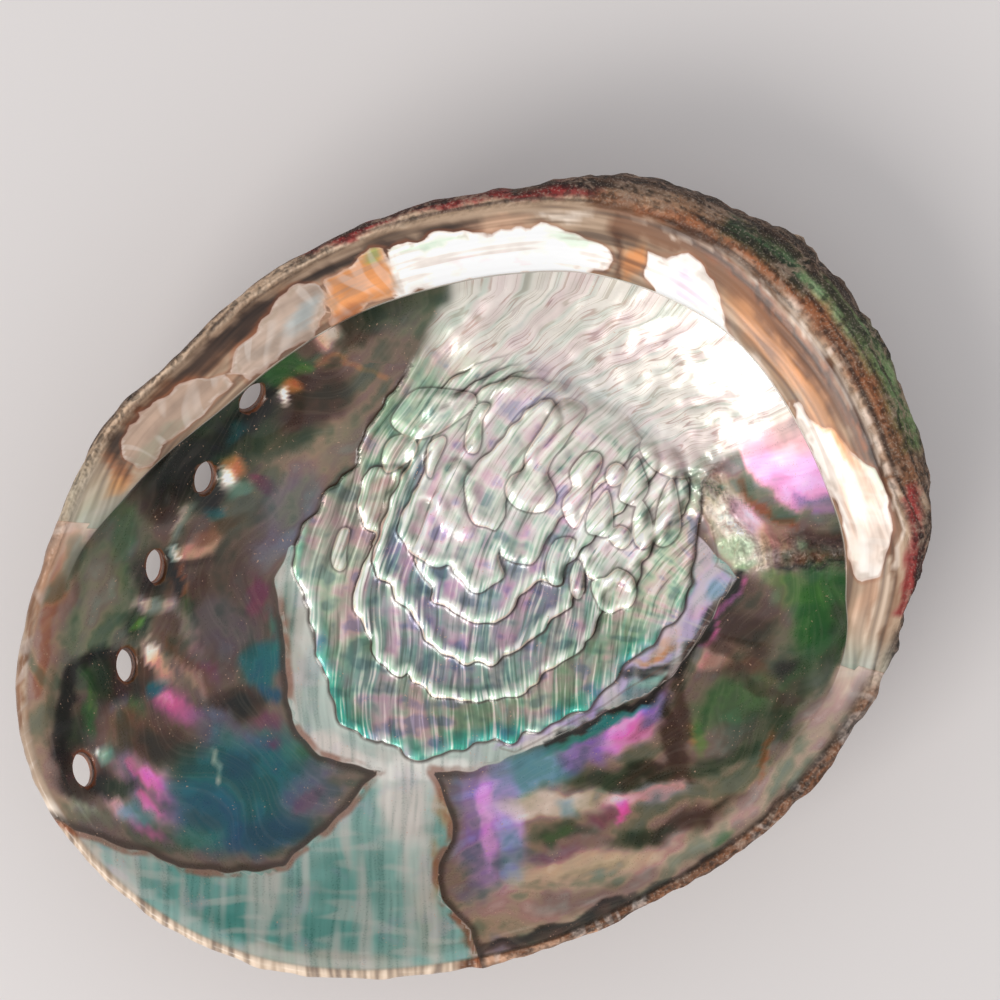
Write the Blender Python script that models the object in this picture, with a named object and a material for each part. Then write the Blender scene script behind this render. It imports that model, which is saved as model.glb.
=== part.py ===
"""A green abalone shell, one grown piece, lying on its back with the bowl open upwards.

+X runs along the long axis towards the spire, +Y towards the shelf beside the row of holes and +Z up
out of the bowl. The origin is under the middle of the shell, on the surface that it rests on. Lengths
in this file are in millimetres until the vertices are written.
"""

import bpy
import numpy as np

MM = 0.001
TURN = 2 * np.pi

# Driving dimensions, in millimetres
FLOOR_THICKNESS = 3.4
WALL_THICKNESS = 2.8
LIP_THICKNESS = 2.3
SHELF_THICKNESS = 2.0
REST_FLAT_DEPTH = 0.5
MIDDLE = (15.0, 7.0)
APEX = (58.0, 12.0)
HOLE_LENGTH = 6.4
HOLE_WIDTH = 4.6
HOLE_FLARE = 0.12
HOLE_LEAN = 0.30
CENTRE_SHIFT = (0.25, -0.05)

# Mesh fineness: points round the shell, and rows from the middle of the bowl to the middle of the back
# The bowl's rows close up at each ledge of the scar: so many from the middle to the first ledge, and so on
SEGMENTS = 84
ROWS_BETWEEN_LEDGES = (5, 4, 4, 4, 7)
BOWL_ROWS = sum(ROWS_BETWEEN_LEDGES)
UNDERCUT_ROWS = 3
EDGE_ROWS = 2
SHELF_ROWS = 5
CREST_ROWS = 4
BACK_ROWS = 19
ROWS = BOWL_ROWS + UNDERCUT_ROWS + EDGE_ROWS + SHELF_ROWS + CREST_ROWS + BACK_ROWS

# Crest of the rim: x, y, z, going round from the front end past the shelf and the spire to the lip
CREST = (
    (-83.4, 5.4, 43.0),
    (-79.0, 19.3, 43.5),
    (-70.0, 31.0, 44.5),
    (-59.5, 40.5, 45.5),
    (-46.5, 50.4, 46.5),
    (-28.0, 57.4, 47.0),
    (-8.0, 61.8, 46.8),
    (17.7, 61.0, 46.0),
    (34.9, 56.0, 45.4),
    (50.7, 48.3, 44.8),
    (63.5, 34.7, 44.4),
    (71.6, 16.0, 44.0),
    (74.1, -1.9, 43.6),
    (72.8, -18.0, 43.2),
    (71.0, -31.0, 43.0),
    (54.0, -49.7, 43.0),
    (38.6, -58.0, 43.2),
    (21.6, -62.9, 43.6),
    (1.5, -64.1, 44.0),
    (-17.5, -63.0, 44.4),
    (-34.6, -58.4, 44.4),
    (-50.6, -51.6, 44.0),
    (-64.8, -41.5, 43.5),
    (-76.5, -26.3, 43.0),
    (-82.6, -10.0, 42.8),
)

# Widest line of the back: x, y, z and the steepness of the wall just below it, in degrees
WIDEST = (
    (-84.6, 5.4, 41.4, 56),
    (-80.5, 20.1, 41.8, 58),
    (-72.0, 31.5, 42.4, 62),
    (-58.0, 45.1, 42.8, 68),
    (-45.3, 54.3, 43.0, 72),
    (-27.7, 59.6, 43.2, 76),
    (-10.4, 64.3, 42.0, 80),
    (5.1, 65.3, 40.8, 84),
    (23.8, 63.3, 38.8, 88),
    (40.9, 58.0, 36.4, 90),
    (53.6, 53.8, 34.4, 90),
    (64.4, 46.1, 33.0, 90),
    (73.4, 34.7, 32.2, 90),
    (81.0, 20.9, 31.8, 90),
    (84.1, 7.8, 31.6, 90),
    (83.8, -8.0, 32.0, 90),
    (81.3, -22.5, 33.4, 88),
    (75.5, -32.4, 36.0, 82),
    (67.2, -39.9, 38.8, 74),
    (54.8, -50.4, 40.6, 66),
    (39.4, -59.1, 41.4, 62),
    (22.0, -64.0, 42.0, 60),
    (1.5, -65.2, 42.4, 58),
    (-17.7, -64.1, 42.8, 56),
    (-35.1, -59.4, 42.8, 56),
    (-51.3, -52.4, 42.4, 55),
    (-65.7, -42.1, 41.8, 55),
    (-77.5, -26.7, 41.4, 55),
    (-83.7, -10.0, 41.2, 55),
)

# Inner edge of the shelf: x, y, z and how far the bowl reaches in under it. Along the lip there is no shelf
SHELF_EDGE = (
    (-80.9, 5.0, 41.2, -1.5),
    (-75.6, 19.0, 41.2, -1.5),
    (-67.6, 28.8, 41.6, -1.0),
    (-59.4, 35.6, 42.2, 0.0),
    (-47.5, 40.6, 42.6, 1.0),
    (-29.7, 46.2, 42.6, 2.5),
    (-12.9, 49.9, 42.4, 4.0),
    (2.9, 50.8, 42.0, 6.0),
    (16.2, 48.6, 41.6, 8.0),
    (29.0, 44.7, 41.2, 9.5),
    (40.7, 38.7, 40.6, 11.0),
    (50.8, 29.4, 40.0, 12.0),
    (59.1, 16.8, 39.4, 12.0),
    (62.7, -0.9, 38.6, 11.0),
    (62.5, -14.7, 38.2, 9.0),
    (61.2, -24.9, 38.0, 6.0),
    (57.5, -33.9, 38.2, 3.0),
    (50.6, -43.2, 38.8, 0.5),
    (38.3, -51.7, 39.8, -1.0),
    (20.5, -58.2, 41.0, -1.5),
    (1.0, -61.0, 42.0, -1.5),
    (-17.0, -60.4, 42.4, -1.5),
    (-33.8, -56.2, 42.4, -1.5),
    (-49.6, -49.6, 42.0, -1.5),
    (-63.3, -39.8, 41.6, -1.5),
    (-74.4, -25.2, 41.2, -1.5),
    (-80.2, -9.8, 41.0, -1.5),
)

# The open holes, front one last: x, y on the inner face, and the turn of the long side from +X in degrees
HOLES = ((-20.4, 47.2, 32), (-34.9, 38.4, 60), (-49.9, 28.2, 58), (-62.6, 14.8, 62), (-77.0, 1.8, 66))

# The filled holes of earlier years, as bumps on the back from the open row round to the apex
FILLED_HOLES = ((-2.6, 50.0), (12.0, 48.6), (25.0, 45.4), (36.5, 41.0), (46.5, 35.2), (54.5, 28.4), (60.0, 21.5))

# Muscle scar in the middle of the bowl: its outline, then the terraces inside it, each lying on the last
SCAR = (
    (-28.8, 18.0), (-31.0, 12.0), (-31.6, 6.0), (-33.0, -3.0), (-33.6, -10.0), (-29.6, -17.6), (-23.6, -24.6),
    (-13.5, -27.8), (-4.4, -30.4), (5.8, -30.9), (14.5, -29.2), (25.2, -25.7), (34.8, -21.3), (42.9, -9.8),
    (48.9, 1.8), (57.0, 12.0), (51.0, 28.0), (41.2, 38.0), (28.8, 42.5), (13.8, 42.0), (-0.4, 35.8),
    (-13.0, 28.0), (-22.6, 23.0),
)
TERRACES = (
    (
        (-24.0, 8.0), (-26.0, -1.0), (-21.5, -11.0), (-14.0, -17.5), (-5.0, -21.0), (4.0, -22.5), (12.0, -20.5),
        (18.0, -17.5), (24.0, -17.0), (30.0, -8.0), (40.0, 8.0), (30.0, 34.0), (6.0, 34.0), (-14.0, 22.0),
    ),
    (
        (-21.5, 12.5), (-19.0, 4.0), (-13.0, -4.5), (-8.5, -13.0), (-1.0, -15.0), (6.0, -12.5), (13.0, -11.0),
        (20.0, -6.0), (30.0, 6.0), (34.0, 22.0), (16.0, 34.0), (-6.0, 24.0),
    ),
    ((-10.0, 12.0), (-4.0, 1.0), (3.0, -4.0), (10.0, -3.0), (18.0, 3.0), (26.0, 16.0), (12.0, 30.0), (-4.0, 20.0)),
)
LEDGE_HEIGHT = 1.0
LEDGE_WIDTH = 0.9

LEDGES = TERRACES[::-1] + (SCAR,)

# Rough ridge from the scar to the end of the shelf
RIDGE = ((45.0, 4.0), (45.0, -6.0), (46.5, -14.0), (53.0, -18.0), (61.0, -22.0))


def closed_curve(points):
    """Reads a closed outline at any angle about the origin: its radius, then the columns after x and y."""
    table = np.array(points, float)
    angle = np.arctan2(table[:, 1], table[:, 0])
    order = np.argsort(angle)
    columns = np.column_stack([np.hypot(table[:, 0], table[:, 1]), table[:, 2:]])[order]
    angle = angle[order]
    knots = np.concatenate([angle[-2:] - TURN, angle, angle[:2] + TURN])
    values = np.concatenate([columns[-2:], columns, columns[:2]])
    slopes = (values[2:] - values[:-2]) / (knots[2:] - knots[:-2])[:, None]
    knots, values = knots[1:-1], values[1:-1]

    def read(theta):
        theta = (theta + np.pi) % TURN - np.pi
        left = np.searchsorted(knots, theta, side="right") - 1
        gap = (knots[left + 1] - knots[left])[:, None]
        s = (theta - knots[left])[:, None] / gap
        ends = values[left] * (1 + 2 * s) * (1 - s) ** 2 + values[left + 1] * s * s * (3 - 2 * s)
        bends = slopes[left] * s * (1 - s) ** 2 - slopes[left + 1] * s * s * (1 - s)
        return (ends + gap * bends).T

    return read


def even(rows):
    """Places of rows along a curve, evenly spaced, leaving out its far end."""
    return (np.arange(rows) / rows)[:, None]


def bend(a, b, c, d, places):
    """Rows of points along a cubic curve from a to d, one curve for each angle."""
    s = places[:, None, :]
    return a * (1 - s) ** 3 + 3 * b * s * (1 - s) ** 2 + 3 * c * s * s * (1 - s) + d * s**3


def away_from(outline, x, y):
    """Distance from a closed outline, below zero inside it."""
    corner = np.array(outline, float)
    side = np.roll(corner, -1, axis=0) - corner
    dx = x[..., None] - corner[:, 0]
    dy = y[..., None] - corner[:, 1]
    along = np.clip((dx * side[:, 0] + dy * side[:, 1]) / (side**2).sum(axis=1), 0, 1)
    gap = np.hypot(dx - along * side[:, 0], dy - along * side[:, 1]).min(axis=-1)
    above, next_above = dy >= 0, np.roll(dy, -1, axis=-1) >= 0
    crossed = (above != next_above) & ((dx * side[:, 1] < dy * side[:, 0]) == (side[:, 1] > 0))
    return np.where(crossed.sum(axis=-1) % 2 == 1, -gap, gap)


def along_line(line, x, y):
    """Distance from an open line."""
    start = np.array(line[:-1], float)
    side = np.array(line[1:], float) - start
    dx = x[..., None] - start[:, 0]
    dy = y[..., None] - start[:, 1]
    along = np.clip((dx * side[:, 0] + dy * side[:, 1]) / (side**2).sum(axis=1), 0, 1)
    return np.hypot(dx - along * side[:, 0], dy - along * side[:, 1]).min(axis=-1)


def smooth(low, high, value):
    s = np.clip((value - low) / (high - low), 0, 1)
    return s * s * (3 - 2 * s)


def bowl_relief(x, y):
    """Height that the scar, its terraces and the rough ridge add to the floor of the bowl.

    The ledges melt into the bowl towards the spire."""
    fade = smooth(58.0, 30.0, x + 0.3 * y)
    height = np.zeros_like(x)
    for ledge in LEDGES:
        height += LEDGE_HEIGHT * smooth(LEDGE_WIDTH / 2, -LEDGE_WIDTH / 2, away_from(ledge, x, y))
    ridge = 1.6 * np.exp(-((along_line(RIDGE, x, y) / 3.0) ** 2))
    return height * fade + ridge


def back_relief(x, y, reach):
    """How far the spire, the row of holes, the growth steps and the crust stand out from the smooth back.

    reach is the place between the apex, 0, and the widest line, 1."""
    dx, dy = x - APEX[0], y - APEX[1]
    distance = np.hypot(dx, dy) + 0.5
    turn = np.arctan2(dy, dx)
    spire = 3.5 * np.exp(-((distance / 19.0) ** 2))
    whorl = (np.log(distance / 32.0) / 0.345 - turn + 5.75) / TURN % 1.0
    coil = 2.2 * np.sqrt(np.sin(np.pi * whorl)) * np.exp(-((distance / 27.0) ** 4))
    row = 1.4 * np.exp(-((along_line(FILLED_HOLES[::-1] + tuple(h[:2] for h in HOLES), x, y) / 6.0) ** 2))
    for hole_x, hole_y, _ in HOLES:
        row = row + 1.3 * np.exp(-(((x - hole_x) ** 2 + (y - hole_y) ** 2) / 22.0))
    for filled_x, filled_y in FILLED_HOLES:
        row = row + 1.1 * np.exp(-(((x - filled_x) ** 2 + (y - filled_y) ** 2) / 9.0))
    steps = 0.45 * np.sin(TURN * (9.0 * reach**1.5 + 0.3 * np.sin(2 * turn)))
    crust = 0.5 * np.sin(0.31 * x + 1.7 * np.sin(0.23 * y)) * np.sin(0.37 * y + 1.1 * np.sin(0.19 * x))
    return spire + coil + row + steps + crust * smooth(20.0, 60.0, x)


def least_height(back, lip, radius):
    """Height of the inner face at these radii where the wall has its least thickness over the back.

    lip is 1 where there is no shelf: the wall thins there towards its edge."""
    height = np.empty_like(radius)
    for i in range(SEGMENTS):
        r, z = back[:, 0, i], back[:, 1, i]
        run, fall = np.gradient(r), np.gradient(z)
        length = np.hypot(run, fall)
        nearness = smooth(0.80, 1.0, r / r.max()) * lip[i]
        wall = WALL_THICKNESS + (LIP_THICKNESS - WALL_THICKNESS) * nearness
        inner_r = r + wall * fall / length
        inner_z = z - wall * run / length
        height[..., i] = np.interp(radius[..., i], inner_r[::-1], inner_z[::-1])
    return height


def in_plan(radius, theta, wide_r):
    """x and y of points at these radii. The middle, where radius is 0, lies nearer the spire than the origin."""
    to_middle = np.clip(1 - radius / wide_r, 0, 1) ** 1.5
    x = radius * np.cos(theta) + MIDDLE[0] * to_middle
    y = radius * np.sin(theta) + MIDDLE[1] * to_middle
    return x, y


def rows_at_ledges(bowl_curve, theta, wide_r):
    """Places of the bowl's rows along its curves: one row at the top and one at the foot of each ledge."""
    fine = even(400)
    radius = bend(*bowl_curve, fine)[:, 0]
    x, y = in_plan(radius, theta, wide_r)
    half_ledge = 0.5 * LEDGE_WIDTH / radius.max(axis=0)
    low = np.zeros(SEGMENTS)
    places = []
    for ledge, count in zip(LEDGES, ROWS_BETWEEN_LEDGES):
        foot = fine[np.argmax(away_from(ledge, x, y) > 0, axis=0), 0]
        foot = np.maximum(foot, low + 0.04)
        places.append(np.linspace(low, foot - half_ledge, count))
        low = foot + half_ledge
    last = ROWS_BETWEEN_LEDGES[-1]
    places.append(low + (1 - low) * even(last))
    return np.concatenate(places)


def profile_rows(theta):
    """Radius and height of the smooth shell, without its relief, row by row at each angle."""
    none = np.zeros(len(theta))
    crest_r, crest_z = closed_curve(CREST)(theta)
    wide_r, wide_z, steepness = closed_curve(WIDEST)(theta)
    edge_r, edge_z, undercut = closed_curve(SHELF_EDGE)(theta)
    shelf = smooth(-1.0, 3.0, undercut)

    wide = np.array([wide_r, wide_z])
    slope = np.radians(steepness)
    back_pull = (0.62 - 0.06 * shelf) * wide_z / np.sin(slope)
    lowest = np.array([none, none - REST_FLAT_DEPTH])
    back = bend(
        wide,
        wide - back_pull * np.array([np.cos(slope), np.sin(slope)]),
        np.array([0.50 * wide_r, lowest[1]]),
        lowest,
        even(BACK_ROWS),
    )
    back = np.concatenate([back, lowest[None]])

    under_r = edge_r + undercut
    under_z = np.maximum(edge_z - 2.2 - 13.0 * shelf, least_height(back, 1 - shelf, under_r))
    under_slope = np.radians(50 + 40 * shelf)
    under_pull = 0.66 * (under_z - FLOOR_THICKNESS) / np.sin(under_slope)
    under = np.array([under_r, under_z])
    bowl_curve = (
        np.array([none, none + FLOOR_THICKNESS]),
        np.array([0.62 * under_r, none + FLOOR_THICKNESS]),
        under - under_pull * np.array([np.cos(under_slope), np.sin(under_slope)]),
        under,
    )
    bowl = bend(*bowl_curve, rows_at_ledges(bowl_curve, theta, wide_r))
    bowl[:, 1] = np.maximum(bowl[:, 1], least_height(back, 1 - shelf, bowl[:, 0]))

    edge = np.array([edge_r, edge_z])
    below_edge = edge - np.array([none + 0.4, 0.9 + (SHELF_THICKNESS - 0.9) * shelf])
    rise = below_edge[1] - under_z
    undercut_wall = bend(
        under,
        under + np.array([0.35 * rise * (1 - shelf), 0.55 * rise]),
        below_edge + np.array([0.45 * (under_r - edge_r) * shelf, -0.3 * rise * (1 - shelf)]),
        below_edge,
        even(UNDERCUT_ROWS),
    )
    rounding = np.array([-0.8 * shelf, none])
    edge_wall = bend(below_edge, below_edge + rounding, edge + rounding, edge, even(EDGE_ROWS))

    crest = np.array([crest_r, crest_z])
    across = crest - edge
    shelf_top = bend(
        edge,
        edge + 0.35 * across + np.array([none, 1.4 * shelf]),
        edge + 0.78 * across - np.array([none, 1.6 * shelf]),
        crest,
        even(SHELF_ROWS),
    )
    drop = crest_z - wide_z
    crest_wall = bend(
        crest,
        crest + np.array([0.5 * (wide_r - crest_r) + 0.3, 0.10 * drop + 0.2]),
        wide + np.array([none, 0.55 * drop]),
        wide,
        even(CREST_ROWS),
    )
    return np.concatenate([bowl, undercut_wall, edge_wall, shelf_top, crest_wall, back]), wide_r


def shell_points():
    """The surface as rows of points, from the middle of the bowl over the rim to the middle of the back."""
    theta = np.arange(SEGMENTS) * TURN / SEGMENTS
    profile, wide_r = profile_rows(theta)
    x, y = in_plan(profile[:, 0], theta, wide_r)
    points = np.stack([x, y, profile[:, 1]], axis=-1)

    row = np.arange(ROWS + 1)
    floor = row < BOWL_ROWS + UNDERCUT_ROWS
    points[floor, :, 2] += bowl_relief(x[floor], y[floor])

    down = np.gradient(points, axis=0)
    round_way = (np.roll(points, -1, axis=1) - np.roll(points, 1, axis=1)) / 2
    normal = np.cross(down, round_way)
    normal /= np.linalg.norm(normal, axis=-1, keepdims=True) + 1e-9
    first_back_row = ROWS - BACK_ROWS
    share = smooth(first_back_row - CREST_ROWS, first_back_row + 1, row) * smooth(ROWS - 1, ROWS - 4, row)
    dx, dy = x - APEX[0], y - APEX[1]
    turn = np.arctan2(dy, dx)
    to_wide = np.hypot(dx[first_back_row], dy[first_back_row])
    full_reach = np.interp(turn, turn[first_back_row], to_wide, period=TURN)
    reach = np.clip(np.hypot(dx, dy) / full_reach, 0, 1)
    points += normal * (back_relief(x, y, reach) * share[:, None])[..., None]
    points[:, :, 2] = np.maximum(points[:, :, 2], 0.0)
    points[..., 0] += CENTRE_SHIFT[0]
    points[..., 1] += CENTRE_SHIFT[1]
    return points


def shell_object():
    """A sphere whose north end is pushed in to be the bowl: each of its points goes to its place on the shell."""
    bpy.ops.mesh.primitive_uv_sphere_add(segments=SEGMENTS, ring_count=ROWS, radius=1.0)
    shell = bpy.context.object
    shell.name = "abalone_shell"
    shell.data.name = "abalone_shell"
    ball = np.array([vertex.co for vertex in shell.data.vertices], float)
    row = np.rint(np.arccos(np.clip(ball[:, 2], -1, 1)) / np.pi * ROWS).astype(int)
    segment = np.rint(np.arctan2(ball[:, 1], ball[:, 0]) / TURN * SEGMENTS).astype(int) % SEGMENTS
    placed = shell_points()[row, segment] * MM
    shell.data.vertices.foreach_set("co", placed.astype(np.float32).ravel())
    shell.data.update()
    shell.data.shade_smooth()
    return shell


def hole_cutter(number, x, y, turn, row_height):
    """A cone through the wall, wider at the inner face, leaning outwards as it goes down."""
    lean = np.array([x, y]) / np.hypot(x, y) * HOLE_LEAN
    bpy.ops.mesh.primitive_cone_add(vertices=20, radius1=1.0 - HOLE_FLARE, radius2=1.0 + HOLE_FLARE, depth=1.0)
    cutter = bpy.context.object
    cutter.name = f"hole_cutter_{number}"
    cone = np.array([vertex.co for vertex in cutter.data.vertices], float)
    height = 22.0
    long_side = np.array([np.cos(np.radians(turn)), np.sin(np.radians(turn))])
    short_side = np.array([-long_side[1], long_side[0]])
    flat = cone[:, :1] * HOLE_LENGTH / 2 * long_side + cone[:, 1:2] * HOLE_WIDTH / 2 * short_side
    up = cone[:, 2:] * height
    placed = np.column_stack([flat - up * lean + (x, y), up + row_height])
    placed[:, 0] += CENTRE_SHIFT[0]
    placed[:, 1] += CENTRE_SHIFT[1]
    cutter.data.vertices.foreach_set("co", (placed * MM).astype(np.float32).ravel())
    cutter.data.update()
    cutter.hide_render = True
    cutter.display_type = "WIRE"
    return cutter


def cut_holes(shell, cutters):
    """Cuts the five open holes of the row. The wall climbs from the bowl to the rim, so each has its own height."""
    points = shell_points()[: BOWL_ROWS + 1].reshape(-1, 3)
    for number, (x, y, turn) in enumerate(HOLES, 1):
        near = np.hypot(points[:, 0] - x, points[:, 1] - y).argmin()
        cutter = hole_cutter(number, x, y, turn, points[near, 2])
        for collection in cutter.users_collection:
            collection.objects.unlink(cutter)
        cutters.objects.link(cutter)
        cut = shell.modifiers.new(f"hole_{number}", "BOOLEAN")
        cut.operation = "DIFFERENCE"
        cut.solver = "EXACT"
        cut.object = cutter


def shell_material():
    """Nacre: pearly green, a little metallic, with a low roughness."""
    material = bpy.data.materials.new("nacre")
    material.use_nodes = True
    surface = material.node_tree.nodes["Principled BSDF"]
    surface.inputs["Base Color"].default_value = (0.42, 0.52, 0.46, 1.0)
    surface.inputs["Metallic"].default_value = 0.25
    surface.inputs["Roughness"].default_value = 0.28
    return material


for old in list(bpy.data.objects):
    bpy.data.objects.remove(old)

shell_parts = bpy.data.collections.new("green_abalone_shell")
hole_cutters = bpy.data.collections.new("cutters")
bpy.context.scene.collection.children.link(shell_parts)
bpy.context.scene.collection.children.link(hole_cutters)

abalone_shell = shell_object()
for collection in abalone_shell.users_collection:
    collection.objects.unlink(abalone_shell)
shell_parts.objects.link(abalone_shell)
cut_holes(abalone_shell, hole_cutters)
abalone_shell.data.materials.append(shell_material())
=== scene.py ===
"""A green abalone shell on a pale floor, seen straight down into its bowl.

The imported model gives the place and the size. Shapes are worked out in millimetres, and markings in the
1000 by 1000 pixels of the photograph, through the camera below. Metres are written to the mesh at the end.
"""

import bpy
import numpy as np
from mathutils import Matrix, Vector


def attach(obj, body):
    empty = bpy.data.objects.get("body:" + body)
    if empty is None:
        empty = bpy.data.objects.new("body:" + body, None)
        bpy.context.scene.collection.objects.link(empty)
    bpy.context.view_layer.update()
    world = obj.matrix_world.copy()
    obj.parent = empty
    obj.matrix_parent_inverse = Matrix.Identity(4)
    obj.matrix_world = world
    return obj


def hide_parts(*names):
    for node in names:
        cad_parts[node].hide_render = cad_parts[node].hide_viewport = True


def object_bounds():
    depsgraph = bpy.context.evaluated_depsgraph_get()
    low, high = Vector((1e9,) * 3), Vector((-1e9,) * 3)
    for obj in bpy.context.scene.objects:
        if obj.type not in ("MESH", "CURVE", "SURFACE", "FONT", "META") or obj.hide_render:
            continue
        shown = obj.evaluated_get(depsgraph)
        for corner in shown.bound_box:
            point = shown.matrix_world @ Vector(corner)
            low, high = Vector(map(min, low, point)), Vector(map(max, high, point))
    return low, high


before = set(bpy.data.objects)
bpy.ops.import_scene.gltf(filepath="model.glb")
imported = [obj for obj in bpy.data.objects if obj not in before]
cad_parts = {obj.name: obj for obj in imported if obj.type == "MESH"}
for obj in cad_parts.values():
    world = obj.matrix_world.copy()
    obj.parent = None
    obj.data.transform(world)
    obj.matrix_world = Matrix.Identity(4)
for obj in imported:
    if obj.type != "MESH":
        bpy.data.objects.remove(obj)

cad_low, cad_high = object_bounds()
bpy.ops.object.select_all(action="DESELECT")

# The camera
# It stands over the bowl and looks straight down, turned so that the shell's long axis rises to the right
# as in the photograph. It is fixed by where the shell's outline falls in the picture.
MM = 0.001
TURN = 2 * np.pi
PICTURE_SIDE = 1000
CAMERA_X, CAMERA_Y, CAMERA_Z = 11.25, 10.05, 695.0
CAMERA_TURN = np.radians(-27.5)
FOCAL_PIXELS = 3697.0
SENSOR = 36.0

camera_data = bpy.data.cameras.new("camera")
camera_data.sensor_width = SENSOR
camera_data.lens = FOCAL_PIXELS * SENSOR / PICTURE_SIDE
camera_data.clip_start = 0.01
camera = bpy.data.objects.new("camera", camera_data)
camera.location = (CAMERA_X * MM, CAMERA_Y * MM, CAMERA_Z * MM)
camera.rotation_euler = (0.0, 0.0, CAMERA_TURN)
bpy.context.scene.collection.objects.link(camera)
bpy.context.scene.camera = camera
bpy.context.scene.view_settings.view_transform = "Standard"


def in_picture(x, y, z):
    """Where a point of the shell, in millimetres, falls in the photograph, in pixels."""
    dx, dy = x - CAMERA_X, y - CAMERA_Y
    scale = FOCAL_PIXELS / (CAMERA_Z - z)
    right = dx * np.cos(CAMERA_TURN) + dy * np.sin(CAMERA_TURN)
    up = dy * np.cos(CAMERA_TURN) - dx * np.sin(CAMERA_TURN)
    return PICTURE_SIDE / 2 + right * scale, PICTURE_SIDE / 2 - up * scale


# The form of the shell
# A grown shell of layered nacre under a rough crust, lying on its back. It is one body: the bowl, the shelf
# that hangs over it round the spire, the crest, and the domed back. It starts as a sphere pushed in.
FLOOR_THICKNESS = 3.4
WALL_THICKNESS = 2.8
LIP_THICKNESS = 2.3
SHELF_THICKNESS = 2.0
REST_FLAT_DEPTH = 0.5
LIP_SMOOTHINGS = 80
MIDDLE = (15.0, 7.0)
APEX = (58.0, 12.0)
HOLE_LENGTH = 6.4
HOLE_WIDTH = 4.6
HOLE_FLARE = 0.12
HOLE_LEAN = 0.30
HOLE_SIDES = 40
HOLE_CUT = 22.0
HOLE_REACH = 9.0
CENTRE_SHIFT = (0.25, -0.05)

# Points round the shell, and rows from the middle of the bowl over the rim to the middle of the back
SEGMENTS = 460
BOWL_ROWS = 118
UNDERCUT_ROWS = 8
EDGE_ROWS = 4
SHELF_ROWS = 16
CREST_ROWS = 8
BACK_ROWS = 52
SHELF_START = BOWL_ROWS + UNDERCUT_ROWS + EDGE_ROWS
CREST_START = SHELF_START + SHELF_ROWS
BACK_START = CREST_START + CREST_ROWS
ROWS = BACK_START + BACK_ROWS

# Crest of the rim: x, y, z, going round from the front end past the shelf and the spire to the lip
CREST = (
    (-83.4, 5.4, 43.0), (-79.0, 19.3, 43.5), (-70.0, 31.0, 44.5), (-59.5, 40.5, 45.5), (-46.5, 50.4, 46.5),
    (-28.0, 57.4, 47.0), (-8.0, 61.8, 46.8), (17.7, 61.0, 46.0), (34.9, 56.0, 45.4), (50.7, 48.3, 44.8),
    (63.5, 34.7, 44.4), (71.6, 16.0, 44.0), (74.1, -1.9, 43.6), (72.8, -18.0, 43.2), (71.0, -31.0, 43.0),
    (54.0, -49.7, 43.0), (38.6, -58.0, 43.2), (21.6, -62.9, 43.6), (1.5, -64.1, 44.0), (-17.5, -63.0, 44.4),
    (-34.6, -58.4, 44.4), (-50.6, -51.6, 44.0), (-64.8, -41.5, 43.5), (-76.5, -26.3, 43.0),
    (-82.6, -10.0, 42.8),
)

# Widest line of the back: x, y, z and the steepness of the wall just below it, in degrees
WIDEST = (
    (-84.6, 5.4, 41.4, 56), (-80.5, 20.1, 41.8, 58), (-72.0, 31.5, 42.4, 62), (-58.0, 45.1, 42.8, 68),
    (-45.3, 54.3, 43.0, 72), (-27.7, 59.6, 43.2, 76), (-10.4, 64.3, 42.0, 80), (5.1, 65.3, 40.8, 84),
    (23.8, 63.3, 38.8, 88), (40.9, 58.0, 36.4, 90), (53.6, 53.8, 34.4, 90), (64.4, 46.1, 33.0, 90),
    (73.4, 34.7, 32.2, 90), (81.0, 20.9, 31.8, 90), (84.1, 7.8, 31.6, 90), (83.8, -8.0, 32.0, 90),
    (81.3, -22.5, 33.4, 88), (75.5, -32.4, 36.0, 82), (67.2, -39.9, 38.8, 74), (54.8, -50.4, 40.6, 66),
    (39.4, -59.1, 41.4, 62), (22.0, -64.0, 42.0, 60), (1.5, -65.2, 42.4, 58), (-17.7, -64.1, 42.8, 56),
    (-35.1, -59.4, 42.8, 56), (-51.3, -52.4, 42.4, 55), (-65.7, -42.1, 41.8, 55), (-77.5, -26.7, 41.4, 55),
    (-83.7, -10.0, 41.2, 55),
)

# Inner edge of the shelf: x, y, z and how far the bowl reaches in under it. Along the lip there is no shelf
SHELF_EDGE = (
    (-80.9, 5.0, 41.2, -1.5), (-75.6, 19.0, 41.2, -1.5), (-67.6, 28.8, 41.6, -1.0),
    (-59.4, 35.6, 42.2, 0.0), (-47.5, 40.6, 42.6, 1.0), (-29.7, 46.2, 42.6, 2.5), (-12.9, 49.9, 42.4, 4.0),
    (2.9, 50.8, 42.0, 6.0), (16.2, 48.6, 41.6, 8.0), (29.0, 44.7, 41.2, 9.5), (40.7, 38.7, 40.6, 11.0),
    (50.8, 29.4, 40.0, 12.0), (59.1, 16.8, 39.4, 12.0), (62.7, -0.9, 38.6, 11.0), (62.5, -14.7, 38.2, 9.0),
    (61.2, -24.9, 38.0, 6.0), (57.5, -33.9, 38.2, 3.0), (50.6, -43.2, 38.8, 0.5), (38.3, -51.7, 39.8, -1.0),
    (20.5, -58.2, 41.0, -1.5), (1.0, -61.0, 42.0, -1.5), (-17.0, -60.4, 42.4, -1.5),
    (-33.8, -56.2, 42.4, -1.5), (-49.6, -49.6, 42.0, -1.5), (-63.3, -39.8, 41.6, -1.5),
    (-74.4, -25.2, 41.2, -1.5), (-80.2, -9.8, 41.0, -1.5),
)

# The open holes, front one last: x, y on the inner face, and the turn of the long side from +X in degrees
HOLES = ((-20.4, 47.2, 32), (-34.9, 38.4, 60), (-49.9, 28.2, 58), (-62.6, 14.8, 62), (-77.0, 1.8, 66))

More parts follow.
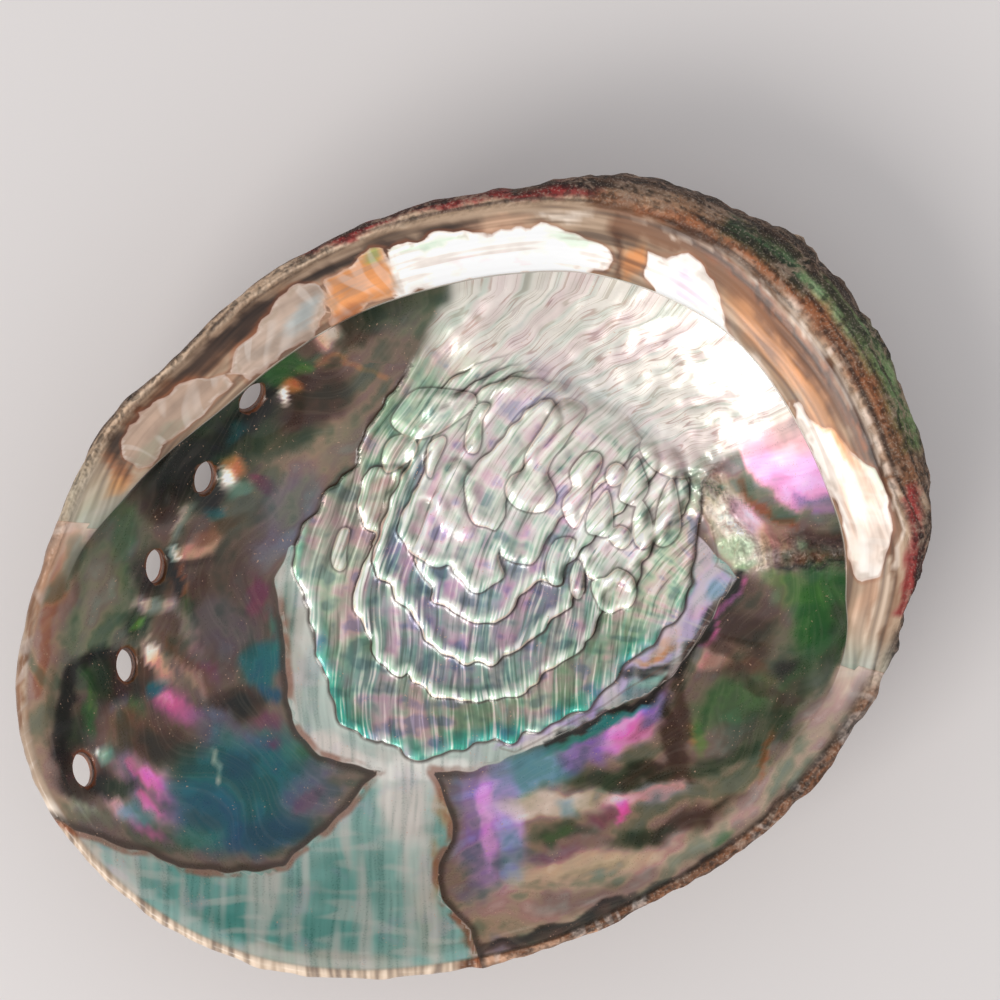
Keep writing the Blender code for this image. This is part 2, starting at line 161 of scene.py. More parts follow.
# The filled holes of earlier years, as bumps on the back from the open row round to the apex
FILLED_HOLES = (
    (-2.6, 50.0), (12.0, 48.6), (25.0, 45.4), (36.5, 41.0), (46.5, 35.2), (54.5, 28.4), (60.0, 21.5),
)

# Distances from lines and outlines are worked out no further than this
REACH = 60.0


def closed_curve(points):
    """Reads a closed outline at any angle about the origin: its radius, then the columns after x and y."""
    table = np.array(points, float)
    angle = np.arctan2(table[:, 1], table[:, 0])
    order = np.argsort(angle)
    columns = np.column_stack([np.hypot(table[:, 0], table[:, 1]), table[:, 2:]])[order]
    angle = angle[order]
    knots = np.concatenate([angle[-2:] - TURN, angle, angle[:2] + TURN])
    values = np.concatenate([columns[-2:], columns, columns[:2]])
    slopes = (values[2:] - values[:-2]) / (knots[2:] - knots[:-2])[:, None]
    knots, values = knots[1:-1], values[1:-1]

    def read(theta):
        theta = (theta + np.pi) % TURN - np.pi
        left = np.searchsorted(knots, theta, side="right") - 1
        gap = (knots[left + 1] - knots[left])[:, None]
        s = (theta - knots[left])[:, None] / gap
        ends = values[left] * (1 + 2 * s) * (1 - s) ** 2 + values[left + 1] * s * s * (3 - 2 * s)
        bends = slopes[left] * s * (1 - s) ** 2 - slopes[left + 1] * s * s * (1 - s)
        return (ends + gap * bends).T

    return read


def even(rows):
    """Places of rows along a curve, evenly spaced, leaving out its far end."""
    return (np.arange(rows) / rows)[:, None]


def bend(a, b, c, d, places):
    """Rows of points along a cubic curve from a to d, one curve for each angle."""
    s = places[:, None, :]
    return a * (1 - s) ** 3 + 3 * b * s * (1 - s) ** 2 + 3 * c * s * s * (1 - s) + d * s**3


def smooth(low, high, value):
    """Climbs from 0 at low to 1 at high."""
    s = np.clip((value - low) / (high - low), 0, 1)
    return s * s * (3 - 2 * s)


def around(line, x, y, reach):
    """Which points lie within reach of a line's box."""
    low, high = np.min(line, axis=0) - reach, np.max(line, axis=0) + reach
    return (x > low[0]) & (x < high[0]) & (y > low[1]) & (y < high[1])


def from_line(line, x, y, reach=REACH):
    """Distance from an open line, at most reach."""
    start = np.array(line[:-1], float)
    side = np.array(line[1:], float) - start
    nearest = np.full(x.shape, reach)
    near = around(line, x, y, reach)
    px, py, found = x[near], y[near], nearest[near]
    for (ax, ay), (sx, sy) in zip(start, side):
        along = np.clip(((px - ax) * sx + (py - ay) * sy) / (sx * sx + sy * sy), 0, 1)
        found = np.minimum(found, np.hypot(px - ax - along * sx, py - ay - along * sy))
    nearest[near] = found
    return nearest


def inside_of(outline, x, y, reach=REACH):
    """Depth inside a closed outline, below zero outside it, at most reach either way."""
    corners = np.array(outline + outline[:1], float)
    odd = np.zeros(x.shape, bool)
    near = around(corners, x, y, 0.0)
    px, py, found = x[near], y[near], odd[near]
    for (ax, ay), (bx, by) in zip(corners[:-1], corners[1:]):
        level = (ay > py) != (by > py)
        found ^= level & (px < (bx - ax) * (py - ay) / (by - ay if by != ay else 1.0) + ax)
    odd[near] = found
    gap = from_line(corners, x, y, reach)
    return np.where(odd, gap, -gap)


def rounded(outline, parts=3):
    """A closed outline with curved sides through the same points."""
    middle = np.array(outline, float)
    before, after, last = (np.roll(middle, turn, axis=0) for turn in (1, -1, -2))
    curve = []
    for s in np.arange(parts) / parts:
        curve.append(
            middle
            + 0.5 * s * (after - before)
            + 0.5 * s**2 * (2 * before - 5 * middle + 4 * after - last)
            + 0.5 * s**3 * (3 * middle - before - 3 * after + last)
        )
    return tuple(map(tuple, np.stack(curve, axis=1).reshape(-1, 2)))


def ripple(x, y, size, start):
    """Irregular waves about size across, between about -1 and 1."""
    total = np.zeros_like(x)
    for turn in (0.3, 1.5, 2.6, 3.9, 5.2):
        shift = start + 7 * turn
        across = (x * np.cos(turn) + y * np.sin(turn)) * 4.4 / size
        aside = (x * np.sin(turn) - y * np.cos(turn)) * 2.3 / size
        total += np.sin(across + shift + 1.4 * np.sin(aside + 2 * shift))
    return total / 2.6


# The muscle scar: sheets of nacre that overlap like tiles, the lowest first, each with scalloped drops
# at its edge. Outlines are in pixels, and each sheet has its rise in millimetres
SCAR = (
    (296, 578), (305, 592), (305, 601), (311, 616), (313, 631), (318, 646), (316, 657), (327, 677),
    (331, 695), (337, 711), (341, 722), (348, 729), (359, 732), (366, 739), (376, 741), (383, 739),
    (390, 744), (399, 746), (403, 754), (409, 759), (420, 760), (435, 756), (451, 751), (466, 747),
    (481, 742), (497, 738), (510, 743), (518, 740), (523, 732), (533, 731), (546, 728), (551, 724),
    (563, 717), (583, 711), (593, 704), (601, 693), (616, 678), (626, 663), (638, 653), (653, 645),
    (661, 631), (676, 620), (682, 613), (684, 603), (689, 591), (693, 582), (692, 568), (696, 540),
    (699, 513), (704, 480), (724, 455), (756, 432), (790, 400), (800, 340), (740, 260), (650, 220),
    (560, 225), (490, 262), (440, 312), (424, 345), (405, 375), (380, 410), (362, 440), (356, 466),
    (330, 487), (317, 513), (303, 525), (297, 541), (294, 564),
)
SHEET_1 = (
    (360, 573), (356, 588), (353, 599), (356, 610), (362, 620), (365, 631), (373, 642), (371, 650),
    (377, 659), (386, 665), (391, 673), (400, 676), (408, 674), (413, 682), (420, 685), (426, 688),
    (435, 697), (451, 699), (471, 701), (489, 700), (507, 697), (525, 694), (530, 686), (540, 679),
    (551, 668), (568, 659), (583, 649), (585, 641), (593, 633), (600, 616), (606, 590), (640, 560),
    (690, 480), (640, 400), (560, 350), (450, 380), (400, 470), (376, 540),
)
SHEET_2 = (
    (375, 548), (378, 577), (390, 584), (396, 598), (411, 611), (417, 624), (425, 636), (432, 646),
    (443, 653), (455, 659), (468, 663), (480, 662), (492, 666), (504, 657), (519, 650), (535, 636),
    (546, 626), (558, 615), (571, 606), (574, 596), (583, 591), (584, 582), (590, 560), (640, 520),
    (680, 460), (620, 400), (540, 360), (450, 400), (405, 470),
)
SHEET_3 = (
    (432, 588), (432, 599), (440, 605), (452, 610), (463, 617), (474, 622), (492, 623), (504, 617),
    (516, 607), (521, 594), (533, 585), (541, 580), (548, 584), (556, 585), (562, 580), (566, 566),
    (600, 530), (660, 460), (600, 400), (520, 370), (470, 440), (425, 520), (415, 560),
)
SHEET_4 = (
    (428, 446), (427, 466), (418, 486), (410, 498), (402, 515), (398, 530), (402, 541), (410, 551),
    (425, 562), (441, 568), (448, 567), (456, 574), (464, 584), (474, 591), (486, 590), (499, 582),
    (504, 576), (502, 568), (498, 550), (506, 560), (520, 563), (530, 564), (538, 556), (560, 520),
    (640, 440), (580, 390), (500, 380), (452, 420),
)
SHEET_5 = (
    (494, 447), (479, 462), (468, 475), (464, 486), (466, 496), (467, 510), (473, 521), (485, 528),
    (494, 530), (502, 520), (506, 500), (520, 470), (560, 420), (540, 400),
)
LEFT_SHEET = (
    (364, 475), (360, 496), (359, 518), (367, 527), (375, 533), (372, 545), (384, 548), (389, 542),
    (387, 533), (395, 510), (408, 480), (402, 470), (385, 466),
)
MIDDLE_SHEET = (
    (422, 496), (433, 503), (439, 518), (445, 528), (456, 536), (467, 539), (474, 530), (464, 505),
    (462, 486), (470, 470), (450, 460),
)
RIGHT_SHEET = (
    (571, 555), (580, 556), (587, 573), (593, 580), (606, 582), (618, 580), (627, 588), (636, 587),
    (642, 564), (648, 556), (660, 530), (690, 500), (660, 440), (600, 480), (578, 520),
)
LOW_RIGHT_SHEET = (
    (593, 584), (596, 600), (600, 610), (612, 612), (624, 608), (635, 600), (637, 587), (620, 570),
)
LONG_DROP = (
    (562, 400), (541, 430), (526, 454), (524, 469), (512, 476), (506, 486), (507, 497), (516, 507),
    (530, 512), (544, 511), (553, 504), (556, 495), (552, 484), (547, 473), (553, 458), (563, 446),
    (573, 430), (586, 408),
)
OVAL_DROP = (
    (570, 473), (578, 460), (587, 453), (598, 453), (602, 460), (599, 472), (592, 484), (590, 500),
    (583, 515), (576, 528), (568, 522), (563, 510), (564, 499), (573, 487),
)
DROPS = (
    (LONG_DROP, 0.55),
    (OVAL_DROP, 0.55),
    (((606, 478), (608, 468), (616, 463), (624, 467), (626, 475), (620, 484), (611, 486)), 0.5),
    (((619, 496), (628, 504), (637, 505), (646, 494), (648, 484), (643, 470), (637, 457), (628, 470)), 0.5),
    (((610, 540), (612, 530), (621, 526), (630, 532), (630, 543), (621, 549)), 0.45),
    (((634, 540), (640, 548), (648, 547), (653, 538), (650, 515), (640, 500), (633, 520)), 0.5),
    ((
        (654, 538), (660, 546), (668, 545), (676, 538), (681, 525), (678, 500), (672, 478), (660, 500),
    ), 0.55),
    (((587, 531), (596, 535), (608, 536), (613, 520), (608, 490), (598, 500), (588, 515)), 0.4),
    ((
        (386, 444), (396, 436), (410, 436), (417, 444), (415, 455), (403, 465), (387, 473), (382, 460),
    ), 0.45),
    ((
        (392, 424), (396, 411), (418, 389), (464, 392), (475, 396), (473, 408), (448, 427), (436, 434),
        (418, 439), (403, 434),
    ), 0.45),
    ((
        (429, 444), (442, 436), (446, 440), (442, 452), (435, 466), (431, 478), (427, 473), (427, 457),
    ), 0.35),
    ((
        (468, 426), (465, 446), (470, 453), (477, 452), (481, 441), (482, 420), (490, 405), (478, 405),
    ), 0.45),
    (((332, 552), (333, 566), (340, 571), (346, 566), (346, 552), (350, 530), (340, 530)), 0.35),
    (((546, 560), (546, 576), (553, 585), (562, 582), (566, 565), (575, 540), (556, 540)), 0.35),
    (((570, 575), (572, 594), (579, 599), (584, 590), (584, 574), (578, 560)), 0.3),
    (((700, 455), (690, 440), (668, 430), (650, 432), (640, 448), (655, 470), (680, 478), (697, 472)), 0.4),
)
DROP_RISE = 1.35
(
    SCAR, SHEET_1, SHEET_2, SHEET_3, SHEET_4, SHEET_5,
    LEFT_SHEET, MIDDLE_SHEET, RIGHT_SHEET, LOW_RIGHT_SHEET,
) = (
    rounded(outline) for outline in (
        SCAR, SHEET_1, SHEET_2, SHEET_3, SHEET_4, SHEET_5,
        LEFT_SHEET, MIDDLE_SHEET, RIGHT_SHEET, LOW_RIGHT_SHEET,
    )
)
DROPS = tuple((rounded(outline), DROP_RISE * height) for outline, height in DROPS)
SHEETS = (
    (SCAR, 0.9), (SHEET_1, 0.8), (SHEET_2, 0.8), (SHEET_3, 0.7), (SHEET_4, 0.7), (SHEET_5, 0.5),
    (LEFT_SHEET, 0.5), (MIDDLE_SHEET, 0.45), (RIGHT_SHEET, 0.6), (LOW_RIGHT_SHEET, 0.4),
)
RIDGE = ((704, 474), (716, 500), (730, 528), (748, 552), (790, 552), (850, 556))
SHELF_PIT = ((778, 560), (796, 556), (830, 557), (850, 562))


def flow(px, py):
    """Across and along the lines in which the scar's nacre ran down from the spire, in pixels."""
    dx, dy = px - 800.0, py - 665.0
    rise = np.minimum(dy, 0.0)
    across = np.hypot(dx, rise)
    along = np.where(dy < 0, -300.0 * np.arctan2(-rise, -dx), dy)
    return across, along


def scalloped(px, py):
    """Picture places pushed about a little, so that an outline read there gets scallops."""
    return px + 1.3 * ripple(px, py, 19, 1), py + 1.5 * ripple(px, py, 17, 2)


def melted(px, py):
    """0 over the scar, growing to 1 up and to the right, where its sheets melt into the bright wall."""
    return np.maximum(smooth(10.0, 60.0, 0.6 * (px - 560.0) - (py - 430.0)), smooth(385.0, 340.0, py))


def scar_relief(px, py):
    """Rise of the scar's sheets and drops, with a bead along each edge and ribs and runs down the flow."""
    wide_x, wide_y = scalloped(px, py)
    rise = np.zeros_like(px)
    for outline, height in SHEETS:
        depth = inside_of(outline, wide_x, wide_y)
        rise += height * smooth(-3.2, 3.4, depth) + 0.22 * np.exp(-(((depth - 7.0) / 5.0) ** 2))
    for outline, height in DROPS:
        depth = inside_of(outline, px, py)
        rise += height * smooth(-3.0, 10.0, depth)
    across, along = flow(px, py)
    ribs = ripple(across, along * 0.16, 11, 3)
    runs = ripple(across, along * 0.11, 19, 6)
    upper = smooth(590.0, 520.0, py)
    in_scar = smooth(-3.0, 6.0, inside_of(SCAR, wide_x, wide_y))
    rise += (0.09 * ribs + 0.26 * runs * upper) * in_scar
    wall = melted(px, py)
    past = np.maximum(0.6 * (px - 560.0) - (py - 440.0), 385.0 - py)
    folds = ripple(across + 5 * ripple(px, py, 45, 4), along * 0.22, 17, 9)
    crinkles = ripple(across + 3 * ripple(px, py, 20, 2), along * 0.5, 8, 5)
    deep = smooth(0.0, 50.0, inside_of(SCAR, wide_x, wide_y))
    on_wall = 3.0 * smooth(190.0, 0.0, past) * deep + 0.10 * folds + 0.06 * crinkles
    return rise * (1 - wall) + on_wall * wall * in_scar


def bowl_relief(px, py, x, y):
    """Rise of everything on the floor of the bowl. The sheets melt into the bowl towards the spire."""
    rise = scar_relief(px, py)
    ridge = from_line(RIDGE, px, py)
    knobs = 1.5 + 0.7 * ripple(px, py, 16, 6) + 0.4 * ripple(px, py, 7, 7)
    rise += knobs * np.exp(-((ridge / 15.0) ** 2))
    rise += 0.35 * ripple(px, py, 9, 2) * smooth(34.0, 12.0, ridge)
    rise -= 1.3 * np.exp(-((from_line(SHELF_PIT, px, py) / 5.0) ** 2))
    rise += 1.1 * np.exp(-(((px - 331) / 13.0) ** 2 + ((py - 340) / 13.0) ** 2))
    rise -= 0.9 * np.exp(-(((px - 137) / 9.0) ** 2 + ((py - 624) / 11.0) ** 2))
    rise -= 0.7 * np.exp(-(((px - 238) / 16.0) ** 2 + ((py - 705) / 11.0) ** 2))
    for hole_x, hole_y, _ in HOLES:
        distance = np.hypot(x - hole_x, y - hole_y)
        rise += 0.5 * np.exp(-(((distance - 6.5) / 2.2) ** 2)) - 1.1 * np.exp(-((distance / 4.6) ** 2))
    rise += 0.10 * ripple(x, y, 11, 9) + 0.05 * ripple(px, py, 24, 3)
    return rise


def back_relief(x, y, reach):
    """How far the spire, the row of holes, the growth steps and the crust stand out from the smooth back.

    reach is the place between the apex, 0, and the widest line, 1."""
    dx, dy = x - APEX[0], y - APEX[1]
    distance = np.hypot(dx, dy) + 0.5
    turn = np.arctan2(dy, dx)
    spire = 3.5 * np.exp(-((distance / 19.0) ** 2))
    whorl = (np.log(distance / 32.0) / 0.345 - turn + 5.75) / TURN % 1.0
    coil = 2.2 * np.sqrt(np.sin(np.pi * whorl)) * np.exp(-((distance / 27.0) ** 4))
    row = 1.4 * np.exp(-((from_line(FILLED_HOLES[::-1] + tuple(h[:2] for h in HOLES), x, y) / 6.0) ** 2))
    for hole_x, hole_y, _ in HOLES:
        row = row + 1.3 * np.exp(-(((x - hole_x) ** 2 + (y - hole_y) ** 2) / 22.0))
    for filled_x, filled_y in FILLED_HOLES:
        row = row + 1.1 * np.exp(-(((x - filled_x) ** 2 + (y - filled_y) ** 2) / 9.0))
    steps = 0.45 * np.sin(TURN * (9.0 * reach**1.5 + 0.3 * np.sin(2 * turn)))
    crust = 0.5 * np.sin(0.31 * x + 1.7 * np.sin(0.23 * y)) * np.sin(0.37 * y + 1.1 * np.sin(0.19 * x))
    return spire + coil + row + steps + crust * smooth(20.0, 60.0, x)


def cords(x, y, reach):
    """Low spiral cords that leave the apex and sweep out to the rim, crossed by fine growth lines."""
    turn = np.arctan2(y - APEX[1], x - APEX[0])
    sweep = turn + 1.5 * np.log(reach + 0.02)
    wide = np.sin(44 * sweep + 0.8 * ripple(x, y, 30, 2))
    fine = np.sin(88 * sweep + 1.2 * ripple(x, y, 20, 5))
    growth = np.sin(150 * reach**1.3 + 1.6 * ripple(x, y, 40, 8))
    return 0.20 * wide + 0.10 * fine + 0.10 * growth


def lumps(x, y, z):
    """Coarse and fine lumps of the crust."""
    coarse = ripple(x + 0.7 * z, y - 0.6 * z, 8.0, 3)
    fine = ripple(x - 0.9 * z, y + 0.8 * z, 3.4, 6)
    return 0.55 * coarse + 0.35 * fine


def least_height(back, lip, radius):
    """Height of the inner face at these radii where the wall has its least thickness over the back.

    lip is 1 where there is no shelf: the wall thins there towards its edge."""
    height = np.empty_like(radius)
    for i in range(SEGMENTS):
        r, z = back[:, 0, i], back[:, 1, i]
        run, fall = np.gradient(r), np.gradient(z)
        length = np.hypot(run, fall)
        nearness = smooth(0.80, 1.0, r / r.max()) * lip[i]
        wall = WALL_THICKNESS + (LIP_THICKNESS - WALL_THICKNESS) * nearness
        inner_r = r + wall * fall / length
        inner_z = z - wall * run / length
        height[..., i] = np.interp(radius[..., i], inner_r[::-1], inner_z[::-1])
    return height


def in_plan(radius, theta, wide_r):
    """x and y of points at these radii. Radius 0 is the middle, nearer the spire than the origin."""
    to_middle = np.clip(1 - radius / wide_r, 0, 1) ** 1.5
    x = radius * np.cos(theta) + MIDDLE[0] * to_middle
    y = radius * np.sin(theta) + MIDDLE[1] * to_middle
    return x, y


def bowl_places(bowl_curve):
    """Places of the bowl's rows along its curves, closer together over the scar than near the wall."""
    fine = even(500)
    radius, height = bend(*bowl_curve, fine).transpose(1, 0, 2)
    step = np.hypot(np.diff(radius, axis=0), np.diff(height, axis=0))
    step = step / (0.42 + 0.33 * smooth(32.0, 55.0, radius[1:]))
    grown = np.concatenate([np.zeros((1, SEGMENTS)), np.cumsum(step, axis=0)])
    grown /= grown[-1]
    columns = [np.interp(even(BOWL_ROWS)[:, 0], grown[:, i], fine[:, 0]) for i in range(SEGMENTS)]
    return np.column_stack(columns)


def profile_rows(theta):
    """Radius and height of the smooth shell, without its relief, row by row at each angle."""
    none = np.zeros(len(theta))
    crest_r, crest_z = closed_curve(CREST)(theta)
    wide_r, wide_z, steepness = closed_curve(WIDEST)(theta)
    edge_r, edge_z, undercut = closed_curve(SHELF_EDGE)(theta)
    shelf = smooth(-1.0, 3.0, undercut)

    wide = np.array([wide_r, wide_z])
    slope = np.radians(steepness)
    back_pull = (0.62 - 0.06 * shelf) * wide_z / np.sin(slope)
    lowest = np.array([none, none - REST_FLAT_DEPTH])
    back = bend(
        wide,
        wide - back_pull * np.array([np.cos(slope), np.sin(slope)]),
        np.array([0.50 * wide_r, lowest[1]]),
        lowest,
        even(BACK_ROWS),
    )
    back = np.concatenate([back, lowest[None]])

    under_r = edge_r + undercut
    under_z = np.maximum(edge_z - 2.2 - 13.0 * shelf, least_height(back, 1 - shelf, under_r))
    under_slope = np.radians(50 + 40 * shelf)
    under_pull = 0.66 * (under_z - FLOOR_THICKNESS) / np.sin(under_slope)
    under = np.array([under_r, under_z])
    bowl_curve = (
        np.array([none, none + FLOOR_THICKNESS]),
        np.array([0.62 * under_r, none + FLOOR_THICKNESS]),
        under - under_pull * np.array([np.cos(under_slope), np.sin(under_slope)]),
        under,
    )
    bowl = bend(*bowl_curve, bowl_places(bowl_curve))
    bowl[:, 1] = np.maximum(bowl[:, 1], least_height(back, 1 - shelf, bowl[:, 0]))

    edge = np.array([edge_r, edge_z])
    below_edge = edge - np.array([none + 0.4, 0.9 + (SHELF_THICKNESS - 0.9) * shelf])
    rise = below_edge[1] - under_z
    undercut_wall = bend(
        under,
        under + np.array([0.35 * rise * (1 - shelf), 0.55 * rise]),
        below_edge + np.array([0.45 * (under_r - edge_r) * shelf, -0.3 * rise * (1 - shelf)]),
        below_edge,
        even(UNDERCUT_ROWS),
    )
    rounding = np.array([-0.8 * shelf, none])
    edge_wall = bend(below_edge, below_edge + rounding, edge + rounding, edge, even(EDGE_ROWS))

    crest = np.array([crest_r, crest_z])
    across = crest - edge
    shelf_top = bend(
        edge,
        edge + 0.35 * across + np.array([none, 1.4 * shelf]),
        edge + 0.78 * across - np.array([none, 1.6 * shelf]),
        crest,
        even(SHELF_ROWS),
    )
    drop = crest_z - wide_z
    crest_wall = bend(
        crest,
        crest + np.array([0.5 * (wide_r - crest_r) + 0.3, 0.10 * drop + 0.2]),
        wide + np.array([none, 0.55 * drop]),
        wide,
        even(CREST_ROWS),
    )
    profile = np.concatenate([bowl, undercut_wall, edge_wall, shelf_top, crest_wall, back])
    corner = slice(BOWL_ROWS - 12, SHELF_START + 12)
    for _ in range(LIP_SMOOTHINGS):
        middle = (profile[corner][2:] + profile[corner][:-2]) / 2
        profile[corner][1:-1] += 0.5 * (1 - shelf) * (middle - profile[corner][1:-1])
    return profile, wide_r


def outward(points):
    """Unit normals of a grid of points that closes on itself along its second axis."""
    down = np.gradient(points, axis=0)
    round_way = (np.roll(points, -1, axis=1) - np.roll(points, 1, axis=1)) / 2
    normal = np.cross(down, round_way)
    return normal / (np.linalg.norm(normal, axis=-1, keepdims=True) + 1e-9)


def share_of_back(row):
    """1 down the back, fading out before the worn flat in its middle."""
    return smooth(ROWS - 1, ROWS - 12, row)


def shell_points():
    """The surface as rows of points, from the middle of the bowl over the rim to the middle of the back."""
    theta = np.arange(SEGMENTS) * TURN / SEGMENTS
    profile, wide_r = profile_rows(theta)
    x, y = in_plan(profile[:, 0], theta, wide_r)
    points = np.stack([x, y, profile[:, 1]], axis=-1)

    row = np.arange(ROWS + 1)
    floor = row < BOWL_ROWS + UNDERCUT_ROWS
    px, py = in_picture(x + CENTRE_SHIFT[0], y + CENTRE_SHIFT[1], profile[:, 1])
    points[floor, :, 2] += bowl_relief(px[floor], py[floor], x[floor], y[floor])

    share = smooth(BACK_START - CREST_ROWS, BACK_START + 1, row) * smooth(ROWS - 1, ROWS - 8, row)
    dx, dy = x - APEX[0], y - APEX[1]
    turn = np.arctan2(dy, dx)
    to_wide = np.hypot(dx[BACK_START], dy[BACK_START])
    full_reach = np.interp(turn, turn[BACK_START], to_wide, period=TURN)
    reach = np.clip(np.hypot(dx, dy) / full_reach, 0, 1)
    points += outward(points) * (back_relief(x, y, reach) * share[:, None])[..., None]

    rim = smooth(SHELF_START + 0.8 * SHELF_ROWS, CREST_START + 2, row) * share_of_back(row)
    angle = (np.degrees(theta) + 180.0) % 360.0 - 180.0
    crumbly = 0.30 + 0.5 * smooth(-50.0, -15.0, angle) * smooth(75.0, 45.0, angle)
    crumbly += 0.45 * smooth(-124.0, -110.0, angle) * smooth(-20.0, -45.0, angle)
    rough = (lumps(*points.transpose(2, 0, 1)) - 0.45) * crumbly
    rough = 0.75 * rough * rim[:, None] + cords(x, y, reach) * share[:, None] * (0.35 + 0.75 * crumbly)
    points += outward(points) * rough[..., None]

    points[:, :, 2] = np.maximum(points[:, :, 2], 0.0)
    points[..., 0] += CENTRE_SHIFT[0]
    points[..., 1] += CENTRE_SHIFT[1]
    low = np.array(cad_low) / MM
    high = np.array(cad_high) / MM
    return np.clip(points, low, high)


bpy.ops.mesh.primitive_uv_sphere_add(segments=SEGMENTS, ring_count=ROWS, radius=1.0)
shell = bpy.context.object
shell.name = shell.data.name = "shell"
ball = np.array([vertex.co for vertex in shell.data.vertices], float)
ball_row = np.rint(np.arccos(np.clip(ball[:, 2], -1, 1)) / np.pi * ROWS).astype(int)
ball_segment = np.rint(np.arctan2(ball[:, 1], ball[:, 0]) / TURN * SEGMENTS).astype(int) % SEGMENTS
grid = shell_points()
shell.data.vertices.foreach_set("co", (grid[ball_row, ball_segment] * MM).astype(np.float32).ravel())
row_mark = shell.data.attributes.new("row", "FLOAT", "POINT")
row_mark.data.foreach_set("value", (ball_row + 1).astype(np.float32))
shell.data.update()

# The row of holes
# Five open holes, through which the animal breathed, pass through the wall beside the shelf. Each is a
# leaning oval cone cut out of the wall, a little wider at the inner face.
bowl_points = grid[:BOWL_ROWS].reshape(-1, 3)
cutters = []
for hole_x, hole_y, hole_turn in HOLES:
    hole_row = np.hypot(bowl_points[:, 0] - hole_x, bowl_points[:, 1] - hole_y).argmin()
    bpy.ops.mesh.primitive_cone_add(
        vertices=HOLE_SIDES, radius1=1.0 - HOLE_FLARE, radius2=1.0 + HOLE_FLARE, depth=1.0
    )
    cutter = bpy.context.object
    cone = np.array([vertex.co for vertex in cutter.data.vertices], float)
    lean = np.array([hole_x, hole_y]) / np.hypot(hole_x, hole_y) * HOLE_LEAN
    long_side = np.array([np.cos(np.radians(hole_turn)), np.sin(np.radians(hole_turn))])
    short_side = np.array([-long_side[1], long_side[0]])
    spread = cone[:, :1] * HOLE_LENGTH / 2 * long_side + cone[:, 1:2] * HOLE_WIDTH / 2 * short_side
    up = cone[:, 2:] * HOLE_CUT
    placed = np.column_stack([spread - up * lean + (hole_x, hole_y), up + bowl_points[hole_row, 2]])
    placed[:, 0] += CENTRE_SHIFT[0]
    placed[:, 1] += CENTRE_SHIFT[1]
    cutter.data.vertices.foreach_set("co", (placed * MM).astype(np.float32).ravel())
    cutter.data.update()
    cutters.append(cutter)
bpy.ops.object.select_all(action="DESELECT")
for cutter in cutters:
    cutter.select_set(True)
bpy.context.view_layer.objects.active = cutters[0]
bpy.ops.object.join()
cut = shell.modifiers.new("holes", "BOOLEAN")
cut.operation = "DIFFERENCE"
cut.solver = "EXACT"
cut.object = cutters[0]
bpy.ops.object.select_all(action="DESELECT")
bpy.context.view_layer.objects.active = shell
bpy.ops.object.modifier_apply(modifier=cut.name)
bpy.data.objects.remove(cutters[0])
shell.data.shade_smooth()

# The colours of the shell
# Nacre, stained layers and crust are all in the shell itself, so they are laid on its points as soft ovals,
# filled outlines and strokes, each placed in the picture and given one of these plain shades.
# Painted light is laid on the same way: painted shadows beside the holes and under the rim and the shelf,
# painted glints on the nacre, and painted glare over the pale nacre of the bright wall.
SHADES = {
    "white": (250, 243, 236), "pearl": (224, 213, 204), "cream": (203, 187, 170), "peach": (210, 170, 144),
    "sand": (160, 138, 118), "taupe": (116, 104, 94), "orange": (203, 132, 76), "rust": (146, 82, 48),
    "brown": (100, 64, 42), "umber": (58, 42, 33), "soot": (22, 23, 21), "moss": (40, 58, 40),
    "leaf": (48, 104, 52), "grass": (88, 142, 62), "sage": (104, 118, 98), "mint": (176, 206, 178),
    "aqua": (134, 176, 166), "teal": (34, 128, 118), "sea": (16, 100, 112), "ink": (22, 80, 112),
    "slate": (96, 104, 130), "sky": (120, 168, 188), "violet": (138, 116, 178), "lilac": (192, 172, 208),
    "pink": (228, 186, 198), "magenta": (214, 98, 176), "orchid": (240, 184, 226), "stone": (156, 130, 112),
    "plum": (116, 48, 84), "wine": (116, 34, 34),
}

# Filled outlines of the nacre. The pale lip lies outside the first two, and the apron frames the scar
LEFT_NACRE = (
    (62, 822), (75, 830), (100, 838), (125, 848), (150, 852), (165, 862), (180, 868), (200, 870),
    (230, 872), (270, 870), (285, 865), (300, 850), (325, 830), (350, 805), (365, 785), (380, 771),
    (345, 763), (320, 755), (300, 735), (292, 720), (287, 680), (285, 640), (280, 610), (275, 580),
    (290, 545), (330, 545), (400, 460), (480, 380), (560, 330), (560, 150), (200, 150), (-20, 500),
    (-20, 800),
)
RIGHT_NACRE = (
    (432, 770), (440, 790), (448, 810), (452, 825), (452, 840), (445, 850), (438, 865), (437, 880),
    (443, 900), (455, 915), (470, 930), (475, 945), (478, 960), (490, 990), (700, 940), (900, 760),
    (990, 500), (900, 150), (559, 150), (559, 330), (620, 400), (660, 480), (690, 530), (718, 556),
    (738, 577), (722, 600), (700, 640), (672, 675), (655, 690), (605, 712), (550, 742), (520, 752),
    (500, 762), (475, 770), (450, 772),
)
APRON = (
    (265, 570), (270, 610), (275, 640), (277, 680), (282, 724), (292, 742), (315, 763), (345, 773),
    (380, 781), (410, 784), (432, 782), (475, 781), (500, 772), (520, 762), (545, 754), (560, 738),
    (600, 700), (560, 600), (400, 520), (320, 530),
)
STRIP = (
    (693, 581), (716, 566), (733, 576), (722, 598), (700, 630), (682, 655), (655, 672), (625, 690),
    (604, 705), (560, 728), (535, 742), (515, 752), (500, 748), (523, 732), (551, 724), (583, 711),
    (601, 693), (616, 678), (638, 653), (661, 631), (684, 603),
)
PALE_STRIP = ((703, 512), (712, 528), (718, 560), (712, 572), (694, 582), (690, 568), (695, 540))
LIP_AREAS = (
    ("aqua", 0.6, 8.0, APRON), ("pearl", 0.55, 8.0, APRON), ("lilac", 0.95, 2.5, STRIP),
    ("pink", 0.7, 2.5, PALE_STRIP),
)
